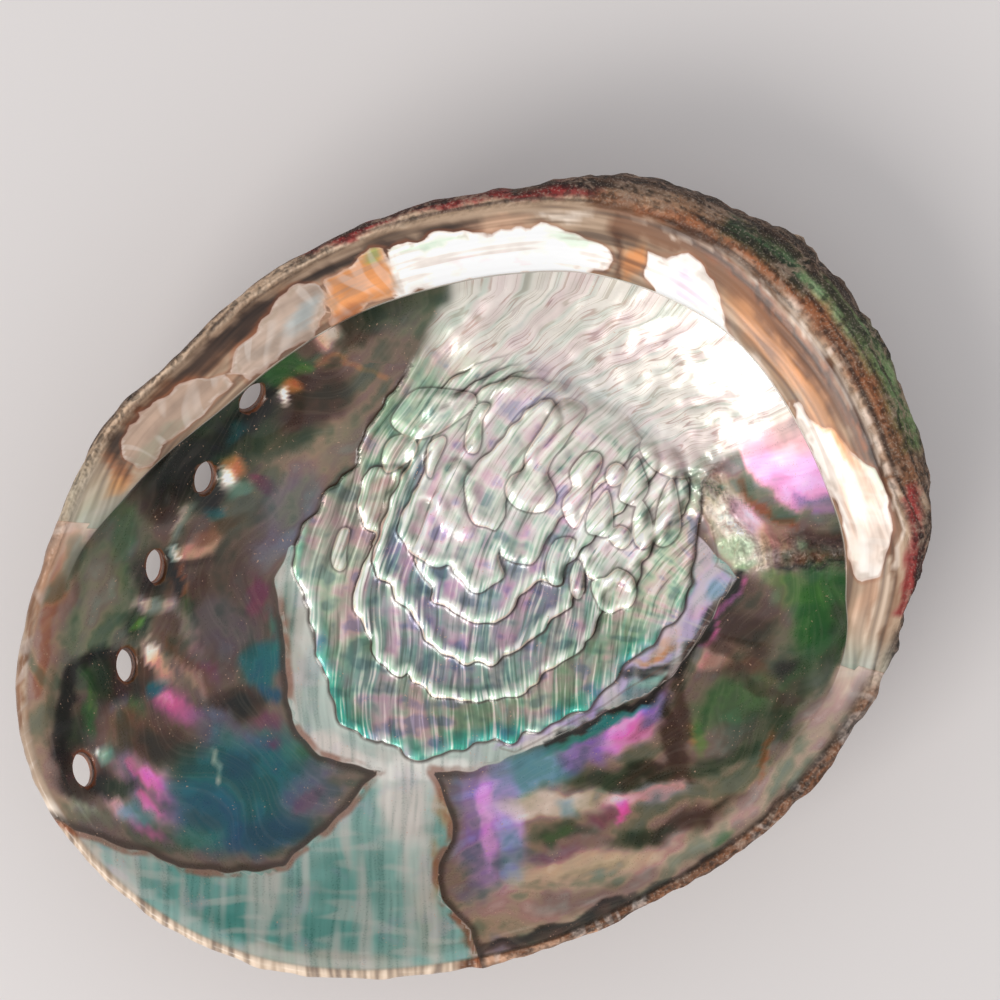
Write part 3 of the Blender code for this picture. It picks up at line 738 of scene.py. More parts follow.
SHEET_SHADES = (
    ("sage", 0.85, SCAR), ("slate", 0.50, SHEET_1), ("slate", 0.45, SHEET_2), ("lilac", 0.35, SHEET_3),
    ("pearl", 0.55, SHEET_4), ("pink", 0.35, SHEET_5), ("sand", 0.40, LEFT_SHEET),
    ("pearl", 0.45, MIDDLE_SHEET), ("white", 0.65, RIGHT_SHEET), ("pearl", 0.70, LOW_RIGHT_SHEET),
)

# Soft ovals: shade, x, y, half length, half width, turn of the long side clockwise in degrees, strength
LIP_OVALS = (
    ("teal", 200, 895, 60, 26, 30, 0.45), ("teal", 250, 925, 60, 20, 15, 0.4),
    ("teal", 340, 885, 40, 30, 0, 0.25), ("teal", 330, 930, 60, 18, 8, 0.35),
    ("pearl", 405, 800, 50, 30, 90, 0.9), ("pearl", 418, 860, 60, 16, 90, 0.5),
    ("cream", 300, 958, 130, 12, 5, 0.6), ("cream", 118, 892, 70, 13, 42, 0.7),
    ("pink", 118, 872, 16, 6, 45, 0.5), ("cream", 86, 848, 34, 10, 50, 0.8),
    ("cream", 430, 925, 45, 16, 80, 0.5), ("orange", 442, 800, 34, 8, 80, 0.6),
    ("orange", 436, 872, 34, 6, 88, 0.5), ("rust", 466, 935, 26, 6, 65, 0.7),
)
LEFT_OVALS = (
    ("sand", 320, 430, 110, 50, -50, 0.35), ("sage", 210, 480, 60, 30, -50, 0.3),
    ("umber", 215, 600, 90, 60, 70, 0.55), ("umber", 180, 730, 60, 40, 20, 0.4),
    ("sage", 100, 590, 110, 42, 105, 0.9), ("leaf", 122, 545, 50, 11, 100, 0.45),
    ("mint", 88, 620, 60, 9, 100, 0.25), ("sage", 100, 640, 40, 30, 90, 0.6),
    # The umber and soot ovals along the left wall, at x 46 to 62, are painted shadow under the rim's
    # overhang.
    ("sand", 100, 600, 60, 20, 100, 0.35), ("umber", 62, 590, 55, 13, 108, 0.95),
    ("soot", 58, 588, 35, 9, 112, 0.9), ("umber", 46, 690, 80, 9, 95, 0.5),
    ("sand", 33, 720, 90, 10, 92, 0.8), ("taupe", 48, 760, 50, 8, 85, 0.6),
    # The moss and soot ovals from (175, 475) to (240, 425) are painted shadow under the shelf's overhanging
    # edge.
    ("moss", 225, 440, 95, 45, -42, 0.9), ("soot", 175, 475, 45, 28, -60, 0.9),
    ("umber", 160, 505, 25, 20, 0, 0.8), ("soot", 240, 425, 55, 14, -40, 0.7),
    ("sea", 238, 428, 25, 8, -50, 0.5), ("leaf", 288, 369, 32, 10, -25, 0.8),
    ("grass", 305, 366, 12, 7, -20, 0.8), ("umber", 312, 398, 48, 32, -30, 0.85),
    ("umber", 350, 330, 50, 18, -25, 0.7), ("moss", 400, 315, 50, 12, -18, 0.7),
    ("taupe", 400, 350, 50, 25, -30, 0.6), ("sage", 425, 318, 50, 14, -20, 0.6),
    ("moss", 300, 438, 26, 12, -30, 0.7), ("sand", 325, 450, 40, 18, -55, 0.5),
    ("sage", 345, 440, 35, 15, -50, 0.4), ("plum", 262, 484, 18, 8, 25, 0.7),
    ("slate", 285, 515, 55, 30, -60, 0.5), ("sage", 300, 500, 40, 12, -60, 0.5),
    ("umber", 250, 540, 50, 12, -70, 0.3), ("plum", 257, 597, 28, 9, 80, 0.65),
    ("leaf", 185, 610, 30, 8, 80, 0.45), ("pink", 190, 628, 30, 7, 65, 0.35),
    ("slate", 225, 625, 40, 30, 40, 0.35), ("sea", 262, 665, 30, 20, -60, 0.9),
    ("teal", 276, 640, 30, 8, 80, 0.5), ("ink", 268, 692, 16, 12, 0, 0.9),
    ("plum", 205, 672, 14, 8, 30, 0.6), ("brown", 188, 664, 45, 8, 42, 0.6),
    ("peach", 196, 682, 40, 5, 42, 0.45), ("umber", 237, 703, 32, 18, 10, 0.95),
    ("soot", 240, 706, 15, 10, 0, 0.9), ("umber", 105, 735, 60, 55, 0, 0.5),
    ("grass", 90, 690, 28, 7, 80, 0.8), ("leaf", 88, 718, 20, 7, 75, 0.8),
    ("moss", 75, 735, 22, 12, 90, 0.8), ("leaf", 133, 708, 14, 8, 60, 0.7),
    ("slate", 122, 705, 18, 5, 90, 0.5), ("sand", 120, 725, 30, 18, -35, 0.45),
    ("brown", 150, 735, 40, 22, 20, 0.6), ("umber", 170, 748, 40, 18, 20, 0.8),
    ("magenta", 176, 706, 30, 14, 35, 0.75), ("pink", 165, 696, 14, 6, 35, 0.5),
    ("orchid", 150, 790, 48, 20, 45, 0.9), ("magenta", 152, 792, 44, 15, 45, 0.7),
    ("magenta", 170, 806, 14, 12, 0, 0.5), ("leaf", 148, 792, 45, 4, 42, 0.35),
    ("moss", 195, 765, 30, 22, 0, 0.6), ("grass", 202, 776, 14, 10, -30, 0.55),
    ("pink", 122, 808, 20, 10, 25, 0.8), ("sky", 136, 816, 20, 12, 30, 0.8),
    ("mint", 78, 806, 24, 7, 20, 0.6), ("sage", 95, 818, 30, 8, 15, 0.5),
    ("magenta", 150, 832, 24, 7, 20, 0.6), ("sea", 242, 790, 78, 62, -20, 0.95),
    ("teal", 205, 838, 30, 12, 0, 0.5), ("ink", 265, 835, 50, 20, -12, 0.9),
    ("ink", 205, 815, 40, 18, 0, 0.6), ("slate", 225, 730, 45, 16, 25, 0.6),
    ("teal", 228, 738, 20, 10, 20, 0.4), ("plum", 268, 722, 16, 8, 20, 0.5),
    ("plum", 272, 746, 10, 6, 0, 0.6), ("slate", 312, 790, 42, 28, -40, 0.75),
    ("plum", 310, 800, 20, 10, -40, 0.35), ("teal", 300, 745, 22, 16, 30, 0.4),
    ("leaf", 315, 755, 20, 8, 30, 0.3), ("taupe", 347, 775, 22, 9, 0, 0.7),
    ("ink", 240, 765, 20, 14, 0, 0.6),
)
# Round the holes: the brown, rust and umber rings of their walls, painted shadows (the soot ovals) where
# the holes and their funnels lie in shade, and painted glints (the white ovals and a few small cream, aqua
# and pearl ones) on their rims and on the closed hole's bump.
HOLE_RINGS_SHADOWS_AND_GLINTS = (
    ("soot", 82, 778, 27, 24, 0, 0.9), ("soot", 122, 674, 25, 24, 0, 0.9),
    ("soot", 150, 574, 20, 22, 0, 0.7), ("brown", 165, 577, 17, 9, 80, 0.9),
    ("brown", 138, 672, 20, 13, 60, 0.9), ("rust", 92, 776, 18, 14, 80, 0.8),
    ("brown", 210, 486, 16, 8, 100, 0.6), ("brown", 258, 402, 14, 8, 100, 0.5),
    ("soot", 258, 405, 28, 15, -58, 0.95), ("orange", 290, 388, 15, 11, 0, 0.8),
    ("white", 281, 397, 12, 7, 90, 0.95), ("soot", 212, 492, 28, 18, -60, 0.95),
    ("sea", 215, 512, 14, 8, 0, 0.6), ("orange", 236, 464, 15, 12, 90, 0.8),
    ("white", 229, 478, 12, 8, 70, 0.95), ("aqua", 240, 490, 10, 8, 0, 0.6),
    ("pearl", 181, 524, 24, 6, -60, 0.5), ("peach", 200, 545, 30, 11, -30, 0.8),
    ("brown", 218, 530, 30, 9, -30, 0.7), ("umber", 197, 562, 20, 6, -15, 0.7),
    ("soot", 172, 575, 22, 10, 80, 0.95), ("rust", 181, 577, 16, 5, 80, 0.7),
    ("white", 175, 553, 9, 6, 60, 0.95), ("pearl", 155, 606, 22, 10, -5, 0.7),
    ("moss", 137, 622, 17, 13, -20, 0.9), ("grass", 136, 622, 9, 5, -30, 0.9),
    ("cream", 146, 638, 12, 3, -60, 0.7), ("umber", 130, 672, 30, 25, 0, 0.9),
    ("brown", 138, 662, 18, 14, 60, 0.6), ("white", 151, 656, 13, 5, 70, 0.9),
    ("peach", 162, 668, 20, 6, 50, 0.8), ("sea", 155, 686, 14, 9, -20, 0.9),
    ("moss", 98, 682, 24, 16, 80, 0.8), ("umber", 84, 772, 27, 26, 0, 0.9),
    ("sand", 86, 762, 17, 14, 0, 0.6), ("soot", 101, 785, 14, 12, 0, 0.9),
    ("moss", 117, 786, 20, 11, 0, 0.8), ("aqua", 105, 756, 13, 9, 60, 0.9),
    ("white", 101, 753, 6, 5, 0, 0.8), ("pearl", 331, 340, 14, 12, -30, 0.9),
    ("peach", 322, 348, 10, 7, 0, 0.5), ("white", 334, 336, 6, 5, 0, 0.8),
)
RIGHT_OVALS = (
    ("sand", 600, 840, 190, 90, -24, 0.55), ("sage", 760, 690, 110, 60, 110, 0.45),
    ("sky", 530, 772, 52, 26, -20, 0.95), ("lilac", 488, 832, 75, 34, 85, 0.45),
    ("violet", 490, 832, 75, 34, 85, 0.6), ("lilac", 508, 815, 60, 18, 80, 0.85),
    ("orchid", 487, 825, 50, 8, 85, 0.6), ("slate", 474, 895, 18, 12, 70, 0.5),
    ("sky", 512, 860, 40, 12, 80, 0.6), ("slate", 457, 792, 20, 8, 80, 0.5),
    # The pearl and sky ovals near (550, 805) are a painted glint.
    ("pearl", 545, 805, 50, 14, -5, 0.75), ("sky", 568, 808, 14, 12, 0, 0.5),
    ("pearl", 600, 800, 30, 12, 0, 0.6), ("pink", 650, 793, 46, 11, -12, 0.85),
    ("moss", 565, 832, 30, 10, -10, 0.55), ("leaf", 560, 835, 16, 6, -10, 0.4),
    ("plum", 605, 815, 14, 8, -30, 0.5), ("magenta", 621, 812, 15, 6, 110, 0.85),
    ("violet", 588, 750, 34, 18, -28, 0.9), ("orchid", 634, 728, 40, 17, -35, 0.75),
    ("magenta", 640, 728, 26, 9, -35, 0.5), ("violet", 655, 706, 22, 16, -50, 0.85),
    ("teal", 600, 727, 62, 7, -27, 0.85), ("moss", 620, 778, 52, 14, -8, 0.85),
    ("umber", 655, 772, 40, 12, -12, 0.7), ("umber", 671, 735, 45, 9, 85, 0.85),
    ("umber", 690, 822, 78, 13, -24, 0.85), ("moss", 640, 838, 40, 10, -15, 0.6),
    ("cream", 575, 872, 85, 20, -12, 0.8), ("slate", 520, 858, 30, 8, -5, 0.4),
    ("plum", 560, 855, 30, 6, -10, 0.35), ("cream", 535, 905, 90, 26, -14, 0.5),
    ("sand", 535, 905, 90, 26, -14, 0.5), ("sand", 485, 930, 34, 24, 30, 0.6),
    ("slate", 500, 945, 14, 10, 90, 0.4), ("taupe", 590, 890, 60, 16, -15, 0.5),
    ("leaf", 725, 838, 14, 5, -35, 0.5), ("umber", 620, 907, 40, 9, -18, 0.7),
    ("umber", 550, 936, 40, 8, -12, 0.8), ("umber", 702, 868, 30, 9, -28, 0.85),
    ("umber", 792, 800, 40, 8, -42, 0.8), ("umber", 745, 625, 58, 34, 110, 0.9),
    ("taupe", 762, 602, 30, 22, 0, 0.5), ("soot", 790, 672, 20, 14, 0, 0.85),
    ("brown", 760, 672, 30, 8, 50, 0.5), ("leaf", 818, 612, 62, 28, 95, 0.95),
    ("grass", 800, 592, 30, 18, 0, 0.4), ("moss", 836, 640, 50, 9, 100, 0.5),
    ("leaf", 792, 692, 32, 14, 120, 0.7), ("grass", 778, 580, 20, 9, 0, 0.5),
    ("sand", 720, 656, 30, 16, -10, 0.6), ("peach", 715, 663, 22, 11, 0, 0.4),
    ("pink", 700, 650, 20, 9, 90, 0.4), ("leaf", 735, 703, 48, 25, -20, 0.6),
    ("moss", 760, 726, 40, 20, -30, 0.5), ("grass", 697, 738, 22, 8, 80, 0.6),
    ("orange", 689, 735, 16, 4, 80, 0.4), ("moss", 725, 760, 45, 10, -20, 0.8),
    ("umber", 790, 697, 30, 12, 130, 0.6), ("rust", 766, 755, 30, 4, 105, 0.8),
    ("moss", 781, 725, 20, 12, 110, 0.6), ("sand", 735, 786, 40, 7, -30, 0.6),
    # The three white ovals are pale nacre of the bright wall, with painted glare over it where the lamp's
    # reflection whitens it.
    ("white", 660, 345, 120, 62, 30, 0.95), ("white", 560, 305, 105, 22, -5, 0.8),
    ("white", 735, 410, 55, 45, 40, 0.9), ("pearl", 792, 430, 75, 30, 65, 0.9),
    ("pink", 775, 468, 60, 34, 40, 0.95), ("orchid", 786, 480, 44, 22, 40, 0.85),
    ("violet", 808, 502, 24, 6, 30, 0.5), ("pink", 745, 448, 18, 9, 20, 0.7),
    ("pearl", 735, 525, 66, 28, 60, 0.97), ("sage", 712, 490, 20, 10, 60, 0.5),
    ("mint", 735, 546, 20, 14, 0, 0.6), ("orchid", 750, 520, 24, 14, 60, 0.4),
    ("mint", 746, 566, 15, 9, 0, 0.6), ("peach", 775, 535, 20, 14, 0, 0.5),
    ("umber", 818, 541, 34, 11, 0, 0.7), ("mint", 797, 545, 10, 5, 0, 0.6),
    ("soot", 805, 567, 34, 3, 0, 0.7), ("brown", 812, 559, 26, 5, 2, 0.95),
)
APRON_OVALS = (
    ("sage", 293, 640, 60, 12, 85, 0.6), ("pearl", 330, 750, 48, 14, 25, 0.95),
    ("white", 420, 768, 80, 10, 0, 0.7), ("taupe", 287, 612, 18, 8, 75, 0.5),
)
SCAR_OVALS = (
    ("moss", 332, 535, 55, 20, 118, 0.45), ("pearl", 420, 620, 50, 26, 25, 0.6),
    ("mint", 330, 560, 70, 22, 100, 0.55), ("aqua", 306, 585, 55, 10, 85, 0.7),
    ("slate", 375, 690, 45, 28, 60, 0.55), ("sage", 450, 725, 90, 18, -5, 0.7),
    ("teal", 450, 742, 120, 9, -10, 0.6), ("violet", 395, 550, 34, 10, 70, 0.6),
    ("slate", 440, 590, 40, 14, 30, 0.6), ("slate", 415, 655, 40, 14, 35, 0.4),
    ("pink", 440, 480, 34, 18, 110, 0.7), ("magenta", 446, 488, 14, 10, 0, 0.3),
    ("violet", 556, 466, 28, 7, 100, 0.6), ("pink", 552, 505, 44, 9, 100, 0.7),
    ("lilac", 505, 430, 16, 12, -50, 0.6), ("sky", 660, 440, 24, 18, 50, 0.5),
    ("orange", 590, 425, 26, 12, 20, 0.3), ("pearl", 655, 590, 50, 36, 100, 0.5),
    ("teal", 605, 680, 45, 10, -42, 0.5), ("pink", 470, 640, 60, 8, 15, 0.35),
    # The two white ovals are pale nacre towards the bright wall, with painted glare over it.
    ("white", 560, 375, 120, 38, 15, 0.65), ("white", 630, 415, 70, 30, 30, 0.5),
    ("pearl", 560, 540, 90, 50, 0, 0.35), ("sage", 385, 455, 26, 12, 130, 0.6),
    ("taupe", 440, 408, 38, 12, -30, 0.5), ("leaf", 345, 500, 60, 5, 115, 0.35),
    ("brown", 372, 500, 50, 4, 112, 0.35), ("mint", 420, 420, 60, 12, 130, 0.4),
    ("moss", 335, 530, 48, 24, 118, 0.55),
)
STRIP_OVALS = (
    ("sky", 716, 588, 15, 12, 0, 0.7), ("magenta", 700, 612, 12, 8, 0, 0.35),
    ("pink", 672, 634, 16, 10, -45, 0.8), ("peach", 662, 648, 20, 8, -30, 0.8),
    ("orange", 656, 657, 28, 5, -20, 0.75), ("soot", 655, 671, 42, 6, -14, 0.97),
    ("mint", 668, 684, 28, 3, -35, 0.7), ("slate", 632, 694, 26, 8, -14, 0.5),
    ("violet", 585, 714, 24, 5, -25, 0.6), ("pearl", 540, 741, 28, 7, -20, 0.8),
)

# Strokes: shade, strength, half width, points of the line
BASIN_STROKES = (
    ("soot", 0.95, 7.0, ((66, 775), (60, 740), (65, 700), (76, 668), (92, 655), (112, 656))),
    # The soot stroke below is painted shadow under the left rim's overhang.
    ("soot", 0.9, 6.0, ((84, 540), (68, 575), (58, 612))),
    ("magenta", 0.7, 3.0, ((742, 582), (728, 604), (713, 626), (701, 645))),
    ("sage", 0.8, 5.5, ((732, 455), (748, 484), (775, 508), (800, 517), (834, 518))),
    ("rust", 0.8, 3.5, ((738, 478), (752, 500), (772, 517), (796, 526))),
    ("umber", 0.7, 6.0, ((676, 680), (684, 705), (680, 750), (690, 782))),
    ("umber", 0.5, 5.0, ((700, 640), (730, 652), (755, 690), (800, 700))),
    ("cream", 0.5, 13.0, (
        (866, 560), (862, 610), (850, 660), (832, 706), (800, 756), (756, 800), (700, 838), (630, 866),
        (560, 884),
    )),
    ("umber", 0.8, 5.0, (
        (476, 952), (540, 934), (600, 914), (660, 892), (704, 872), (752, 838), (800, 792), (844, 738),
        (868, 690),
    )),
    ("soot", 0.5, 3.0, ((488, 946), (560, 924), (620, 902), (690, 872), (736, 842))),
    ("sand", 0.9, 19.0, (
        (118, 436), (92, 486), (74, 530), (54, 588), (40, 650), (32, 710), (34, 770), (54, 818),
    )),
    ("rust", 0.5, 5.0, ((104, 452), (82, 500), (62, 560), (48, 620), (38, 690))),
    ("pearl", 0.7, 1.6, ((212, 750), (217, 760), (219, 772), (213, 790))),
    ("orange", 0.35, 3.0, ((318, 358), (350, 360), (385, 378))),
)
TROUGH_STROKES = (
    ("soot", 0.97, 4.5, (
        (740, 576), (722, 600), (700, 638), (686, 658), (672, 676), (655, 692), (630, 706), (605, 714),
        (575, 728), (550, 744),
    )),
)
PATCH_AREAS = (
    ("stone", 0.95, 3.0, (
        (128, 456), (122, 440), (140, 416), (165, 400), (182, 386), (202, 375), (226, 372), (232, 386),
        (216, 402), (190, 426), (165, 446), (148, 470),
    )),
    ("stone", 0.75, 3.5, (
        (228, 372), (235, 348), (255, 330), (275, 300), (295, 284), (315, 284), (326, 300), (324, 326),
        (300, 346), (270, 366), (248, 382),
    )),
    ("orange", 0.97, 4.0, (
        (325, 278), (350, 268), (370, 250), (386, 250), (396, 270), (396, 290), (380, 302), (355, 314),
        (335, 328), (328, 305),
    )),
    ("white", 0.95, 3.0, (
        (388, 258), (400, 240), (425, 235), (475, 232), (500, 230), (540, 226), (580, 232), (608, 245),
        (612, 262), (596, 273), (545, 275), (500, 277), (450, 284), (420, 293), (395, 298),
    )),
    ("white", 0.85, 3.0, (
        (650, 252), (690, 258), (713, 276), (722, 300), (724, 326), (738, 346), (765, 375), (790, 410),
        (770, 385), (735, 346), (700, 320), (670, 305), (648, 290),
    )),
    ("pearl", 0.95, 4.0, (
        (790, 402), (826, 424), (858, 455), (880, 482), (890, 512), (888, 550), (880, 580), (856, 582),
        (846, 545), (835, 510), (815, 460),
    )),
)
PATCH_OVALS = (
    ("sage", 160, 440, 40, 10, -45, 0.35), ("sky", 300, 320, 30, 10, -50, 0.35),
    ("taupe", 262, 350, 40, 9, -35, 0.4), ("grass", 373, 256, 12, 6, -30, 0.6),
    ("mint", 430, 244, 40, 6, -8, 0.6), ("lilac", 690, 290, 30, 14, 40, 0.5),
    ("peach", 868, 510, 60, 14, 75, 0.3), ("orange", 838, 440, 38, 6, 50, 0.8),
    ("peach", 862, 476, 30, 5, 60, 0.6), ("peach", 846, 500, 40, 6, 75, 0.6),
    ("mint", 575, 240, 30, 8, 10, 0.5), ("pink", 500, 262, 60, 7, 0, 0.4),
    ("peach", 850, 560, 30, 10, 90, 0.3), ("mint", 872, 470, 30, 6, 60, 0.5),
    ("rust", 345, 312, 24, 8, -25, 0.5),
)
SHELF_OVALS = (
    ("peach", 92, 505, 55, 16, 120, 0.35), ("rust", 120, 468, 24, 14, 60, 0.8),
    ("umber", 118, 447, 18, 14, 60, 0.85), ("orange", 116, 486, 14, 12, 0, 0.8),
    ("orange", 635, 262, 18, 16, 90, 0.85), ("orange", 770, 335, 70, 22, 52, 0.7),
    ("orange", 815, 400, 40, 14, 60, 0.6), ("white", 752, 365, 50, 8, 52, 0.8),
    ("orange", 850, 455, 30, 7, 52, 0.5), ("peach", 866, 630, 80, 16, 100, 0.7),
    ("cream", 852, 660, 60, 14, 108, 0.7), ("sand", 600, 222, 60, 8, 5, 0.5),
    ("white", 555, 214, 36, 7, 3, 0.7), ("peach", 500, 222, 40, 7, -8, 0.6),
)
SHELF_STROKES = (
    ("sand", 0.7, 6.0, (
        (320, 338), (360, 316), (400, 302), (450, 290), (500, 282), (560, 279), (610, 284),
    )),
    ("brown", 0.95, 14.0, ((138, 428), (160, 402), (200, 356), (250, 322), (290, 290))),
    ("umber", 0.95, 9.0, ((180, 372), (230, 335), (270, 300))),
    ("umber", 1.0, 9.0, ((296, 278), (330, 264), (362, 250), (420, 234), (475, 226))),
    ("brown", 0.8, 3.0, ((618, 226), (619, 250), (616, 276))),
    ("sage", 0.5, 2.5, ((650, 296), (700, 322), (740, 352), (775, 392), (800, 440), (825, 500))),
)
RIM_STROKES = (
    ("sand", 0.8, 8.0, (
        (125, 412), (170, 372), (225, 320), (275, 284), (325, 256), (400, 226), (480, 210), (560, 206),
    )),
    ("cream", 0.35, 3.0, ((125, 406), (175, 364), (225, 318), (275, 278), (325, 251), (400, 222))),
    ("wine", 1.0, 6.5, (
        (305, 248), (350, 231), (400, 211), (450, 199), (500, 192), (560, 189), (600, 188),
    )),
    ("umber", 0.8, 3.5, (
        (110, 410), (165, 356), (225, 298), (275, 258), (325, 236), (400, 206), (450, 193), (500, 186),
    )),
    ("brown", 0.75, 10.0, (
        (620, 226), (690, 246), (740, 286), (780, 326), (820, 376), (850, 420), (876, 466), (890, 520),
        (888, 580), (876, 640), (860, 690),
    )),
    ("rust", 0.6, 5.0, ((700, 246), (750, 284), (800, 336), (840, 394), (868, 446))),
    ("umber", 0.7, 2.5, ((690, 238), (740, 276), (790, 328), (830, 380), (862, 430), (880, 470))),
    ("pearl", 0.75, 2.2, (
        (620, 214), (700, 242), (750, 272), (800, 322), (840, 374), (870, 432), (886, 478), (900, 520),
        (900, 570),
    )),
    ("brown", 0.85, 14.0, (
        (600, 202), (660, 210), (720, 232), (780, 274), (834, 330), (872, 388), (896, 436), (908, 480),
    )),
    ("rust", 0.45, 5.0, ((640, 208), (700, 226), (760, 262), (815, 312), (856, 366), (886, 424))),
    ("sand", 0.45, 3.0, ((640, 200), (700, 214), (755, 244), (800, 280), (850, 335))),
    ("leaf", 0.6, 11.0, ((760, 236), (800, 268), (842, 308), (876, 352), (900, 400), (914, 440))),
    ("mint", 0.3, 5.0, ((780, 256), (820, 290), (856, 330))),
    ("moss", 0.9, 8.0, ((730, 225), (770, 250), (800, 280))),
    ("umber", 0.95, 8.0, (
        (520, 182), (560, 178), (620, 178), (680, 186), (740, 212), (790, 240), (830, 272), (872, 316),
        (905, 368), (926, 436), (936, 490), (934, 545), (918, 600), (896, 650), (872, 700),
    )),
    ("wine", 0.9, 6.0, ((914, 492), (918, 535), (911, 580), (900, 612))),
    ("cream", 0.8, 7.0, ((888, 560), (880, 620), (862, 680))),
)
EDGE_STROKES = (
    ("sand", 0.9, 12.0, (
        (110, 432), (85, 470), (68, 520), (50, 570), (38, 620), (28, 680), (24, 740), (40, 800),
    )),
    ("brown", 0.7, 4.0, (
        (100, 430), (76, 470), (56, 520), (42, 570), (30, 620), (20, 680), (16, 740), (28, 790),
    )),
    ("rust", 0.4, 4.0, ((70, 500), (50, 570), (36, 640), (28, 720))),
    ("cream", 0.9, 14.0, (
        (45, 812), (65, 845), (100, 882), (150, 920), (200, 948), (275, 969), (350, 975), (460, 968),
    )),
    ("umber", 0.9, 14.0, (
        (480, 950), (540, 930), (600, 908), (680, 876), (740, 836), (800, 786), (848, 728),
    )),
    ("brown", 0.95, 9.0, (
        (468, 966), (540, 948), (600, 926), (680, 890), (740, 850), (800, 800), (850, 742), (880, 690),
    )),
    ("peach", 0.6, 3.5, ((480, 966), (560, 948), (620, 925), (680, 898), (740, 858), (790, 818))),
)


def to_linear(plain):
    """Shades of 0 to 1 as the picture shows them, as amounts of light."""
    return np.where(plain <= 0.04045, plain / 12.92, ((plain + 0.055) / 1.055) ** 2.4)


def oval(px, py, x, y, half_length, half_width, turn):
    """1 inside an oval, fading out past its edge."""
    c, s = np.cos(np.radians(turn)), np.sin(np.radians(turn))
    along = ((px - x) * c + (py - y) * s) / half_length
    aside = ((py - y) * c - (px - x) * s) / half_width
    return smooth(1.25, 0.55, np.hypot(along, aside))


class Coat:
    """The colours of a set of points, laid on shade by shade where their places in the picture say."""

    def __init__(self, px, py, shade):
        self.px = px + 3.5 * ripple(px, py, 38, 1) + 1.8 * ripple(px, py, 15, 2)
        self.py = py + 3.5 * ripple(px, py, 36, 3) + 1.8 * ripple(px, py, 14, 4)
        self.colour = np.tile(np.array(SHADES[shade], float), (len(px), 1))

    def lay(self, shade, mask):
        self.colour += mask[:, None] * (np.array(SHADES[shade], float) - self.colour)

    def ovals(self, marks):
        for shade, x, y, half_length, half_width, turn, strength in marks:
            self.lay(shade, strength * oval(self.px, self.py, x, y, half_length, half_width, turn))

    def areas(self, marks):
        for shade, strength, soft, outline in marks:
            self.lay(shade, strength * smooth(-soft, soft, inside_of(outline, self.px, self.py)))

    def strokes(self, marks):
        for shade, strength, half_width, line in marks:
            near = from_line(line, self.px, self.py)
            self.lay(shade, strength * smooth(1.5 * half_width, 0.5 * half_width, near))


def lip_colours(px, py):
    """The clean nacre along the lip, round the scar and in the strip beside the trough."""
    coat = Coat(px, py, "aqua")
    coat.ovals(LIP_OVALS)
    coat.areas(LIP_AREAS)
    coat.ovals(APRON_OVALS)
    coat.ovals(STRIP_OVALS)
    coat.strokes(TROUGH_STROKES)
    return coat.colour


def basin_colours(px, py):
    """The dark nacre to the left and right of the lip, with the holes, the ridge and the bright wall, and
    the painted shadows, glints and glare laid among them.
    """
    coat = Coat(px, py, "taupe")
    coat.ovals(LEFT_OVALS)
    coat.ovals(RIGHT_OVALS)
    coat.strokes(BASIN_STROKES)
    coat.strokes(TROUGH_STROKES)
    coat.ovals(HOLE_RINGS_SHADOWS_AND_GLINTS)
    return coat.colour


def scar_colours(px, py):
    """The sheets of the scar, greener and greyer downwards, white towards the bright wall, where pale nacre
    carries painted glare.
    """
    coat = Coat(px, py, "sage")
    wide_x, wide_y = scalloped(px, py)
    for shade, strength, outline in SHEET_SHADES:
        coat.lay(shade, strength * smooth(-3.0, 4.0, inside_of(outline, wide_x, wide_y)))
        if outline is SCAR:
            coat.ovals(SCAR_OVALS)
    for outline, _ in DROPS:
        coat.lay("pearl", 0.45 * smooth(0.0, 8.0, inside_of(outline, px, py)))
    coat.lay("teal", 0.97 * smooth(560, 660, py) * smooth(20.0, 5.0, inside_of(SCAR, wide_x, wide_y)))
    # Towards the bright wall: pale nacre, with painted glare over it.
    coat.lay("pearl", 0.55 * smooth(-150.0, 0.0, 0.6 * (px - 560.0) - (py - 420.0)))
    coat.lay("white", 0.75 * smooth(-30.0, 90.0, 0.6 * (px - 560.0) - (py - 420.0)))
    return coat.colour


def shelf_colours(px, py):
    """The stained layers of the shelf between its pale patches, and the groove and crest outside them."""
    coat = Coat(px, py, "sand")
    coat.strokes(SHELF_STROKES)
    coat.ovals(SHELF_OVALS)
    coat.strokes(RIM_STROKES)
    return coat.colour


def patch_colours(px, py):
    """The pale and orange patches of the shelf."""
    coat = Coat(px, py, "pearl")
    coat.areas(PATCH_AREAS)
    coat.ovals(PATCH_OVALS)
    return coat.colour


def back_colours(x, y, reach):
    """The crusted back: red and brown growth bands, green-brown film and pale patches."""
    coat = Coat(x, y, "brown")
    bands = 0.5 + 0.5 * np.sin(34 * reach**1.3 + 2.5 * ripple(x, y, 45, 8))
    coat.lay("sand", 0.35 + 0.25 * smooth(-0.5, 0.9, ripple(x, y, 70, 7)))
    coat.lay("wine", 0.45 * smooth(0.60, 0.95, bands))
    coat.lay("umber", 0.5 * smooth(0.45, 0.1, bands))
    coat.lay("moss", 0.45 * smooth(0.0, 1.2, ripple(x, y, 60, 4) + 0.5 * ripple(x, y, 18, 6)))
    coat.lay("sage", 0.35 * smooth(0.2, 1.2, ripple(x, y, 48, 2) + 0.5 * ripple(x, y, 13, 9)))
    coat.lay("cream", 0.35 * smooth(0.6, 1.3, ripple(x, y, 30, 5) + 0.5 * ripple(x, y, 7, 3)))
    coat.lay("cream", 0.5 * smooth(0.25, 0.05, reach))
    return coat.colour


